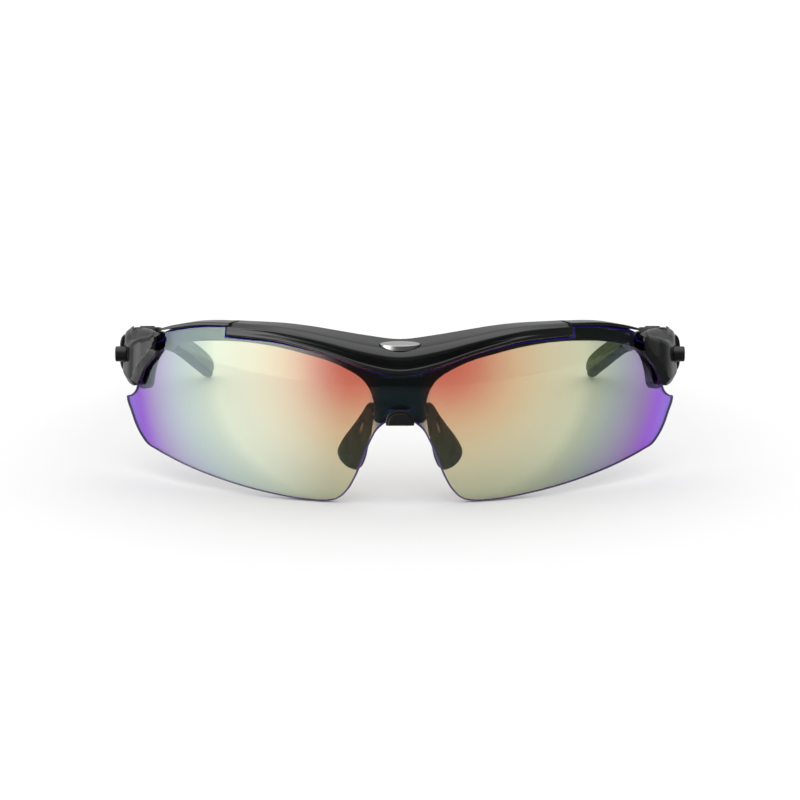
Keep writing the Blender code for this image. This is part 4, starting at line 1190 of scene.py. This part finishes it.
def elastomer(name, colour, roughness, bead_size):
    """Soft rubber: a powdery bloom over a matt, slightly pebbled skin."""
    finish = bpy.data.materials.new(name)
    finish.use_nodes = True
    nodes = finish.node_tree.nodes
    links = finish.node_tree.links
    nodes.clear()

    output = nodes.new("ShaderNodeOutputMaterial")
    output.label = "Finished surface"
    rubber = nodes.new("ShaderNodeBsdfPrincipled")
    rubber.label = "Rubber"
    rubber.inputs["Specular IOR Level"].default_value = 0.35
    rubber.inputs["Sheen Weight"].default_value = 0.12
    rubber.inputs["Sheen Roughness"].default_value = 0.4
    place = nodes.new("ShaderNodeTexCoord")
    place.label = "Place on the rubber"

    bloom_frame = nodes.new("NodeFrame")
    bloom_frame.label = "Bloom in the colour"
    bloom = nodes.new("ShaderNodeTexNoise")
    bloom.label = "Patches of bloom"
    bloom.parent = bloom_frame
    bloom.inputs["Scale"].default_value = 260.0
    bloom.inputs["Detail"].default_value = 5.0
    shade = nodes.new("ShaderNodeValToRGB")
    shade.label = "Bare to bloomed"
    shade.parent = bloom_frame
    shade.color_ramp.elements[0].position = 0.25
    shade.color_ramp.elements[0].color = (*[0.8 * c for c in colour], 1.0)
    shade.color_ramp.elements[1].position = 0.8
    shade.color_ramp.elements[1].color = (*[1.25 * c for c in colour], 1.0)

    skin_frame = nodes.new("NodeFrame")
    skin_frame.label = "Pebbled skin"
    pebbles = nodes.new("ShaderNodeTexVoronoi")
    pebbles.label = "Pebbles"
    pebbles.parent = skin_frame
    pebbles.inputs["Scale"].default_value = 1.0 / bead_size
    relief = nodes.new("ShaderNodeBump")
    relief.label = "Pebble height"
    relief.parent = skin_frame
    relief.inputs["Strength"].default_value = 0.3
    relief.inputs["Distance"].default_value = bead_size * 0.08
    matt = nodes.new("ShaderNodeMapRange")
    matt.label = "Matt between pebbles"
    matt.parent = skin_frame
    matt.inputs["From Max"].default_value = 0.6
    matt.inputs["To Min"].default_value = roughness
    matt.inputs["To Max"].default_value = roughness + 0.15

    for node, spot in (
        (output, (700, 0)), (rubber, (400, 0)), (place, (-1100, 0)), (bloom, (-700, 300)),
        (shade, (-400, 300)), (pebbles, (-700, -300)), (relief, (-100, -300)), (matt, (-400, 0)),
    ):
        node.location = spot

    links.new(place.outputs["Object"], bloom.inputs["Vector"])
    links.new(bloom.outputs["Fac"], shade.inputs["Fac"])
    links.new(shade.outputs["Color"], rubber.inputs["Base Color"])
    links.new(place.outputs["Object"], pebbles.inputs["Vector"])
    links.new(pebbles.outputs["Distance"], relief.inputs["Height"])
    links.new(pebbles.outputs["Distance"], matt.inputs["Value"])
    links.new(matt.outputs["Result"], rubber.inputs["Roughness"])
    links.new(relief.outputs["Normal"], rubber.inputs["Normal"])
    links.new(rubber.outputs["BSDF"], output.inputs["Surface"])
    return finish


def brushed_metal(name, colour, roughness, stretch):
    """Metal with fine brush lines. stretch squeezes the noise along X, Y and Z."""
    finish = bpy.data.materials.new(name)
    finish.use_nodes = True
    nodes = finish.node_tree.nodes
    links = finish.node_tree.links
    nodes.clear()

    output = nodes.new("ShaderNodeOutputMaterial")
    output.label = "Finished surface"
    metal = nodes.new("ShaderNodeBsdfPrincipled")
    metal.label = "Metal"
    metal.inputs["Metallic"].default_value = 1.0
    place = nodes.new("ShaderNodeTexCoord")
    place.label = "Place on the metal"

    brush_frame = nodes.new("NodeFrame")
    brush_frame.label = "Brush lines"
    direction = nodes.new("ShaderNodeMapping")
    direction.label = "Direction of brushing"
    direction.parent = brush_frame
    direction.inputs["Scale"].default_value = stretch
    lines = nodes.new("ShaderNodeTexNoise")
    lines.label = "Lines"
    lines.parent = brush_frame
    lines.inputs["Scale"].default_value = 1.0
    lines.inputs["Detail"].default_value = 4.0
    shade = nodes.new("ShaderNodeValToRGB")
    shade.label = "Bright and dull lines"
    shade.parent = brush_frame
    shade.color_ramp.elements[0].position = 0.3
    shade.color_ramp.elements[0].color = (*[0.86 * c for c in colour], 1.0)
    shade.color_ramp.elements[1].position = 0.7
    shade.color_ramp.elements[1].color = (*[min(1.0, 1.08 * c) for c in colour], 1.0)
    polish = nodes.new("ShaderNodeMapRange")
    polish.label = "Polish of the lines"
    polish.parent = brush_frame
    polish.inputs["To Min"].default_value = roughness * 0.75
    polish.inputs["To Max"].default_value = roughness * 1.3
    relief = nodes.new("ShaderNodeBump")
    relief.label = "Depth of the lines"
    relief.parent = brush_frame
    relief.inputs["Strength"].default_value = 0.25
    relief.inputs["Distance"].default_value = 0.000015

    for node, spot in (
        (output, (700, 0)), (metal, (400, 0)), (place, (-1300, 0)), (direction, (-1000, 0)),
        (lines, (-700, 0)), (shade, (-400, 250)), (polish, (-400, 0)), (relief, (-100, -300)),
    ):
        node.location = spot

    links.new(place.outputs["Object"], direction.inputs["Vector"])
    links.new(direction.outputs["Vector"], lines.inputs["Vector"])
    links.new(lines.outputs["Fac"], shade.inputs["Fac"])
    links.new(lines.outputs["Fac"], polish.inputs["Value"])
    links.new(lines.outputs["Fac"], relief.inputs["Height"])
    links.new(shade.outputs["Color"], metal.inputs["Base Color"])
    links.new(polish.outputs["Result"], metal.inputs["Roughness"])
    links.new(relief.outputs["Normal"], metal.inputs["Normal"])
    links.new(metal.outputs["BSDF"], output.inputs["Surface"])
    return finish


# Colours that the coat lets through, by millimetres from its thickest spot near the top of the nose
COAT = [
    (0.0, (0.585, 0.136, 0.093)), (5.0, (0.598, 0.159, 0.108)), (9.0, (0.619, 0.225, 0.141)),
    (14.0, (0.647, 0.370, 0.218)), (18.5, (0.675, 0.477, 0.288)), (23.0, (0.661, 0.551, 0.340)),
    (27.0, (0.654, 0.598, 0.396)), (32.0, (0.633, 0.626, 0.430)), (36.0, (0.622, 0.651, 0.457)),
    (40.0, (0.475, 0.532, 0.399)), (45.0, (0.390, 0.447, 0.424)), (49.5, (0.356, 0.341, 0.459)),
    (53.5, (0.336, 0.230, 0.504)), (57.0, (0.330, 0.108, 0.696)), (62.0, (0.280, 0.198, 0.840)),
]
COAT_REACH = 62.0
THICK_SPOT = (11.4, 38.0)     # x and height of that spot, in millimetres


def mirror_coated_lens():
    """See-through tint under a mirror coat that runs from red over cream and grey-green to violet."""
    finish = bpy.data.materials.new("mirror_lens")
    finish.use_nodes = True
    nodes = finish.node_tree.nodes
    links = finish.node_tree.links
    nodes.clear()

    output = nodes.new("ShaderNodeOutputMaterial")
    output.label = "Finished lens"
    glass = nodes.new("ShaderNodeBsdfPrincipled")
    glass.label = "Coated polycarbonate"
    glass.inputs["Transmission Weight"].default_value = 1.0
    glass.inputs["Roughness"].default_value = 0.0
    glass.inputs["IOR"].default_value = 1.7
    glass.inputs["Specular IOR Level"].default_value = 1.0
    glass.inputs["Specular Tint"].default_value = (0.75, 0.95, 1.0, 1.0)

    spot_frame = nodes.new("NodeFrame")
    spot_frame.label = "Distance from the thickest coat"
    place = nodes.new("ShaderNodeTexCoord")
    place.label = "Place on the lens"
    place.parent = spot_frame
    axes = nodes.new("ShaderNodeSeparateXYZ")
    axes.label = "Across, back and up"
    axes.parent = spot_frame
    across = nodes.new("ShaderNodeMath")
    across.label = "Both halves alike"
    across.parent = spot_frame
    across.operation = "ABSOLUTE"
    aside = nodes.new("ShaderNodeMath")
    aside.label = "Across from the spot"
    aside.parent = spot_frame
    aside.operation = "SUBTRACT"
    aside.inputs[1].default_value = THICK_SPOT[0] * MM
    above = nodes.new("ShaderNodeMath")
    above.label = "Up from the spot"
    above.parent = spot_frame
    above.operation = "SUBTRACT"
    above.inputs[1].default_value = THICK_SPOT[1] * MM
    behind = nodes.new("ShaderNodeMath")
    behind.label = "Coat climbs towards the sides"
    behind.parent = spot_frame
    behind.operation = "MULTIPLY_ADD"
    behind.inputs[1].default_value = 0.24
    behind.inputs[2].default_value = -0.24 * FRONT_SHIFT * MM
    rise = nodes.new("ShaderNodeMath")
    rise.label = "Height along the coat"
    rise.parent = spot_frame
    rise.operation = "ADD"
    offset = nodes.new("ShaderNodeCombineXYZ")
    offset.label = "Way from the spot"
    offset.parent = spot_frame
    distance = nodes.new("ShaderNodeVectorMath")
    distance.label = "Distance from the spot"
    distance.parent = spot_frame
    distance.operation = "LENGTH"

    coat_frame = nodes.new("NodeFrame")
    coat_frame.label = "Colour of the coat"
    cloud = nodes.new("ShaderNodeTexNoise")
    cloud.label = "Uneven coat"
    cloud.parent = coat_frame
    cloud.inputs["Scale"].default_value = 24.0
    cloud.inputs["Detail"].default_value = 1.0
    waver = nodes.new("ShaderNodeMath")
    waver.label = "Bands waver slightly"
    waver.parent = coat_frame
    waver.operation = "MULTIPLY_ADD"
    waver.inputs[1].default_value = 0.003
    share = nodes.new("ShaderNodeMapRange")
    share.label = "Share of the way out"
    share.parent = coat_frame
    share.inputs["From Min"].default_value = 0.0015
    share.inputs["From Max"].default_value = COAT_REACH * MM + 0.0015
    bands = nodes.new("ShaderNodeValToRGB")
    bands.label = "Red to violet"
    bands.parent = coat_frame
    ramp = bands.color_ramp
    ramp.elements.remove(ramp.elements[1])
    ramp.elements[0].position = COAT[0][0]
    ramp.elements[0].color = (*COAT[0][1], 1.0)
    for distance_out, colour in COAT[1:]:
        stop = ramp.elements.new(distance_out / COAT_REACH)
        stop.color = (*colour, 1.0)

    # Painted reflection: in front of the bridge plate the coat is painted dark slate, standing in for the
    # teal reflection the plate area shows through the lens
    plate_frame = nodes.new("NodeFrame")
    plate_frame.label = "Painted teal reflection before the bridge plate"
    inside = nodes.new("ShaderNodeMapRange")
    inside.label = "Near the middle"
    inside.parent = plate_frame
    inside.interpolation_type = "SMOOTHSTEP"
    inside.inputs["From Min"].default_value = 0.0085
    inside.inputs["From Max"].default_value = 0.0045
    closed = nodes.new("ShaderNodeMixRGB")
    closed.label = "Painted slate before the plate"
    closed.parent = plate_frame
    closed.inputs["Color2"].default_value = (0.10, 0.15, 0.17, 1.0)

    lamp_frame = nodes.new("NodeFrame")
    lamp_frame.label = "Light falls through"
    ray = nodes.new("ShaderNodeLightPath")
    ray.label = "Ray from a lamp"
    ray.parent = lamp_frame
    smoke = nodes.new("ShaderNodeBsdfTransparent")
    smoke.label = "Smoked shadow"
    smoke.parent = lamp_frame
    smoke.inputs["Color"].default_value = (0.66, 0.66, 0.66, 1.0)
    passing = nodes.new("ShaderNodeMixShader")
    passing.label = "Lens or its shadow"
    passing.parent = lamp_frame

    for node, spot in (
        (output, (1200, 0)), (glass, (600, 0)), (place, (-1500, 0)), (axes, (-1300, 0)),
        (across, (-1100, 200)), (aside, (-900, 200)), (above, (-1100, 0)), (behind, (-1100, -200)),
        (rise, (-900, 0)), (offset, (-700, 100)), (distance, (-500, 100)), (cloud, (-500, -200)),
        (waver, (-300, 0)), (share, (-100, 0)), (bands, (150, 0)), (inside, (-100, -500)),
        (closed, (400, -200)), (ray, (600, 400)), (smoke, (600, -400)), (passing, (950, 0)),
    ):
        node.location = spot

    links.new(place.outputs["Object"], axes.inputs["Vector"])
    links.new(axes.outputs["X"], across.inputs[0])
    links.new(across.outputs["Value"], aside.inputs[0])
    links.new(axes.outputs["Z"], above.inputs[0])
    links.new(axes.outputs["Y"], behind.inputs[0])
    links.new(above.outputs["Value"], rise.inputs[0])
    links.new(behind.outputs["Value"], rise.inputs[1])
    links.new(aside.outputs["Value"], offset.inputs["X"])
    links.new(rise.outputs["Value"], offset.inputs["Y"])
    links.new(offset.outputs["Vector"], distance.inputs[0])
    links.new(place.outputs["Object"], cloud.inputs["Vector"])
    links.new(cloud.outputs["Fac"], waver.inputs[0])
    links.new(distance.outputs["Value"], waver.inputs[2])
    links.new(waver.outputs["Value"], share.inputs["Value"])
    links.new(share.outputs["Result"], bands.inputs["Fac"])
    # Near the middle the painted slate reflection takes the place of the coat colour
    links.new(across.outputs["Value"], inside.inputs["Value"])
    links.new(inside.outputs["Result"], closed.inputs["Fac"])
    links.new(bands.outputs["Color"], closed.inputs["Color1"])
    links.new(closed.outputs["Color"], glass.inputs["Base Color"])
    links.new(ray.outputs["Is Shadow Ray"], passing.inputs["Fac"])
    links.new(glass.outputs["BSDF"], passing.inputs[1])
    links.new(smoke.outputs["BSDF"], passing.inputs[2])
    links.new(passing.outputs["Shader"], output.inputs["Surface"])
    return finish


def lens_edge():
    """Cut edge of the lens, where the coat shows as a violet line, plum at the foot and bluer towards the
    brow.
    """
    finish = bpy.data.materials.new("lens_edge")
    finish.use_nodes = True
    nodes = finish.node_tree.nodes
    links = finish.node_tree.links
    nodes.clear()

    output = nodes.new("ShaderNodeOutputMaterial")
    output.label = "Finished edge"
    edge = nodes.new("ShaderNodeBsdfPrincipled")
    edge.label = "Polished edge with a painted glow"
    edge.inputs["Roughness"].default_value = 0.2
    # Painted glow: the edge gives off a faint light of its own in its tint, though it is no lamp
    edge.inputs["Emission Strength"].default_value = 0.05
    place = nodes.new("ShaderNodeTexCoord")
    place.label = "Place on the edge"
    axes = nodes.new("ShaderNodeSeparateXYZ")
    axes.label = "Across, back and up"

    tint_frame = nodes.new("NodeFrame")
    tint_frame.label = "Tint and painted glow of the edge"
    height = nodes.new("ShaderNodeMapRange")
    height.label = "Foot to brow"
    height.parent = tint_frame
    height.inputs["From Min"].default_value = 0.0
    height.inputs["From Max"].default_value = 0.04
    tint = nodes.new("ShaderNodeValToRGB")
    tint.label = "Plum to blue"
    tint.parent = tint_frame
    tint.color_ramp.elements[0].position = 0.1
    tint.color_ramp.elements[0].color = (0.1, 0.06, 0.16, 1.0)
    tint.color_ramp.elements[1].position = 0.95
    tint.color_ramp.elements[1].color = (0.012, 0.008, 0.16, 1.0)

    for node, spot in (
        (output, (700, 0)), (edge, (400, 0)), (place, (-900, 0)), (axes, (-700, 0)),
        (height, (-400, 0)), (tint, (-100, 0)),
    ):
        node.location = spot

    links.new(place.outputs["Object"], axes.inputs["Vector"])
    links.new(axes.outputs["Z"], height.inputs["Value"])
    links.new(height.outputs["Result"], tint.inputs["Fac"])
    links.new(tint.outputs["Color"], edge.inputs["Base Color"])
    # The same tint colours the painted glow
    links.new(tint.outputs["Color"], edge.inputs["Emission Color"])
    links.new(edge.outputs["BSDF"], output.inputs["Surface"])
    return finish


# ---------------------------------------------------------------- putting it together

gloss_black = moulded_plastic("gloss_black", (0.008, 0.0085, 0.009), 0.2, 0.05, 0.000005, 0.5)
satin_black = moulded_plastic("satin_black", (0.007, 0.007, 0.0075), 0.34, 0.06, 0.00001, 0.4)
soft_black = elastomer("soft_black", (0.018, 0.018, 0.019), 0.55, 0.0004)
olive_rubber = elastomer("olive_rubber", (0.085, 0.105, 0.035), 0.55, 0.0004)
badge_metal = brushed_metal("badge_metal", (0.62, 0.62, 0.61), 0.3, (300.0, 9000.0, 9000.0))
steel = brushed_metal("steel", (0.56, 0.56, 0.55), 0.3, (900.0, 900.0, 7000.0))
brass_insert = brushed_metal("brass_insert", (0.7, 0.5, 0.22), 0.3, (900.0, 900.0, 7000.0))
lens_coat = mirror_coated_lens()
lens_rim = lens_edge()

head_tree = fluted_head_tree()
spring_tree = coil_tree()
grip_tree = dimple_tree()

add_piece("frame", frame_mesh(), [gloss_black], "front", ["frame_front"])
add_piece("lens", lens_mesh(), [lens_coat, lens_rim], "front", ["lens_shield"])
add_piece("badge", badge_mesh(), [badge_metal], "front", ["brow_badge"])
add_piece("nose_bridge_clip", clip_mesh(), [satin_black], "front", ["nose_clip"])
for side, label in SIDES:
    flip = mirrored if side < 0 else (lambda bm: bm)
    pin = hinge_pin_mesh(head_tree, satin_black)
    grip = grip_mesh(grip_tree, olive_rubber)
    spring = spring_mesh(spring_tree, steel)
    for name, bm, finish, slot, body, node in (
        (f"pad_wire_{label}", flip(nose_wire_mesh()), steel, "steel", f"pad_{label}", "nose_wire"),
        (f"pad_{label}_rubber", flip(nose_pad_mesh()), soft_black, "soft_black", f"pad_{label}",
         "nose_pad"),
        (f"cap_{label}", flip(end_cap_mesh()), gloss_black, "gloss_black", "front", "end_cap"),
        (f"cap_screw_{label}", cap_screw_mesh(side), steel, "steel", "front", "end_cap_screw"),
        (f"button_{label}_knob", button_mesh(side), satin_black, "satin_black", f"button_{label}",
         "release_button"),
        (f"pin_{label}", flip(pin), satin_black, "satin_black", "front", "hinge_pin"),
        (f"washer_{label}", hinge_ring_mesh(side, WASHER), steel, "steel", "front", "hinge_washer"),
        (f"nut_{label}", hinge_ring_mesh(side, NUT), brass_insert, "brass_insert", "front", "hinge_nut"),
        (f"arm_{label}_shell", flip(arm_mesh()), gloss_black, "gloss_black", f"arm_{label}", "temple_arm"),
        (f"sleeve_{label}", flip(sleeve_mesh()), soft_black, "soft_black", f"arm_{label}", "temple_sleeve"),
        (f"grip_{label}", flip(grip), olive_rubber, "olive_rubber", f"arm_{label}", "temple_grip"),
        (f"spring_{label}", flip(spring), steel, "steel", "front", "button_spring"),
    ):
        add_piece(name, bm, [finish], body, [f"{node}_{label}"])
    for node in (f"temple_wire_{label}", f"lens_latch_{label}"):
        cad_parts[node].material_slots[0].material = steel


# ---------------------------------------------------------------- studio

def studio_world():
    """White sky for light and view, and soft boxes on a dark ground for what gloss mirrors."""
    world = bpy.data.worlds.new("studio")
    bpy.context.scene.world = world
    world.use_nodes = True
    nodes = world.node_tree.nodes
    links = world.node_tree.links
    nodes.clear()

    output = nodes.new("ShaderNodeOutputWorld")
    output.label = "Studio"
    either = nodes.new("ShaderNodeMixShader")
    either.label = "Light or reflection"
    ray = nodes.new("ShaderNodeLightPath")
    ray.label = "Mirrored rays"
    sky = nodes.new("ShaderNodeBackground")
    sky.label = "White sky"
    sky.inputs["Color"].default_value = (1.0, 1.0, 1.0, 1.0)
    sky.inputs["Strength"].default_value = 1.16
    boxes = nodes.new("ShaderNodeBackground")
    boxes.label = "Soft boxes"

    way = nodes.new("ShaderNodeTexCoord")
    way.label = "Direction"
    axes = nodes.new("ShaderNodeSeparateXYZ")
    axes.label = "Across, back and up"
    side_way = nodes.new("ShaderNodeVectorMath")
    side_way.label = "Towards the side box"
    side_way.operation = "DOT_PRODUCT"
    side_way.inputs[1].default_value = (-0.9, -0.44, 0.0)
    side_box = nodes.new("ShaderNodeMapRange")
    side_box.label = "Side box"
    side_box.interpolation_type = "SMOOTHSTEP"
    side_box.inputs["From Min"].default_value = 0.68
    side_box.inputs["From Max"].default_value = 0.98
    side_box.inputs["To Min"].default_value = 0.0
    side_box.inputs["To Max"].default_value = 4.2
    top_box = nodes.new("ShaderNodeMapRange")
    top_box.label = "Top box"
    top_box.interpolation_type = "SMOOTHSTEP"
    top_box.inputs["From Min"].default_value = 0.55
    top_box.inputs["From Max"].default_value = 0.95
    top_box.inputs["To Min"].default_value = 0.1
    top_box.inputs["To Max"].default_value = 2.6
    wall = nodes.new("ShaderNodeMapRange")
    wall.label = "White wall behind"
    wall.interpolation_type = "SMOOTHSTEP"
    wall.inputs["From Min"].default_value = -0.1
    wall.inputs["From Max"].default_value = 0.4
    wall.inputs["To Min"].default_value = 0.0
    wall.inputs["To Max"].default_value = 1.16
    wall_share = nodes.new("ShaderNodeMath")
    wall_share.label = "Gloss sees the wall dimmer"
    wall_share.operation = "MULTIPLY_ADD"
    wall_share.inputs[1].default_value = -0.4
    wall_share.inputs[2].default_value = 1.0
    seen_wall = nodes.new("ShaderNodeMath")
    seen_wall.label = "Wall as it is seen"
    seen_wall.operation = "MULTIPLY"
    both = nodes.new("ShaderNodeMath")
    both.label = "Both boxes"
    both.operation = "ADD"
    total = nodes.new("ShaderNodeMath")
    total.label = "Boxes or wall"
    total.operation = "MAXIMUM"
    bounced = nodes.new("ShaderNodeMath")
    bounced.label = "Mirrored or let through"
    bounced.operation = "MAXIMUM"

    for node, spot in (
        (output, (900, 0)), (either, (700, 0)), (ray, (450, 300)), (sky, (450, 0)),
        (boxes, (450, -200)), (way, (-1000, 0)), (axes, (-700, -100)), (side_way, (-700, 200)),
        (side_box, (-450, 250)), (top_box, (-450, 0)), (wall, (-450, -250)),
        (wall_share, (-450, -500)), (seen_wall, (-200, -250)), (both, (-200, 100)), (total, (50, 0)),
        (bounced, (250, 250)),
    ):
        node.location = spot

    links.new(way.outputs["Generated"], side_way.inputs[0])
    links.new(way.outputs["Generated"], axes.inputs["Vector"])
    links.new(side_way.outputs["Value"], side_box.inputs["Value"])
    links.new(axes.outputs["Z"], top_box.inputs["Value"])
    links.new(axes.outputs["Y"], wall.inputs["Value"])
    links.new(ray.outputs["Is Glossy Ray"], wall_share.inputs[0])
    links.new(wall.outputs["Result"], seen_wall.inputs[0])
    links.new(wall_share.outputs["Value"], seen_wall.inputs[1])
    links.new(side_box.outputs["Result"], both.inputs[0])
    links.new(top_box.outputs["Result"], both.inputs[1])
    links.new(both.outputs["Value"], total.inputs[0])
    links.new(seen_wall.outputs["Value"], total.inputs[1])
    links.new(total.outputs["Value"], boxes.inputs["Strength"])
    links.new(ray.outputs["Is Glossy Ray"], bounced.inputs[0])
    links.new(ray.outputs["Is Transmission Ray"], bounced.inputs[1])
    links.new(bounced.outputs["Value"], either.inputs["Fac"])
    links.new(sky.outputs["Background"], either.inputs[1])
    links.new(boxes.outputs["Background"], either.inputs[2])
    links.new(either.outputs["Shader"], output.inputs["Surface"])


def studio_floor():
    bm = bmesh.new()
    bmesh.ops.create_grid(bm, x_segments=1, y_segments=1, size=6.0)
    floor = loose_object(bm, "floor")
    paper = bpy.data.materials.new("floor_paper")
    paper.use_nodes = True
    shader = paper.node_tree.nodes["Principled BSDF"]
    shader.label = "White paper"
    shader.inputs["Base Color"].default_value = (0.9, 0.9, 0.9, 1.0)
    shader.inputs["Roughness"].default_value = 0.9
    shader.inputs["Specular IOR Level"].default_value = 0.1
    floor.data.materials.append(paper)
    floor.visible_glossy = False


def studio_camera():
    elevation = math.radians(13.5)
    target = Vector((0.0, FRONT_SHIFT * MM, 0.02755))
    away = Vector((0.0, -math.cos(elevation), math.sin(elevation)))
    lens = bpy.data.cameras.new("camera")
    lens.sensor_width = 36.0
    lens.lens = 177.75
    lens.clip_start = 0.01
    camera = bpy.data.objects.new("camera", lens)
    camera.location = target + away
    camera.rotation_mode = "QUATERNION"
    camera.rotation_quaternion = away.to_track_quat("Z", "Y")
    bpy.context.scene.collection.objects.link(camera)
    bpy.context.scene.camera = camera


studio_world()
studio_floor()
studio_camera()
bpy.context.scene.view_settings.view_transform = "Standard"
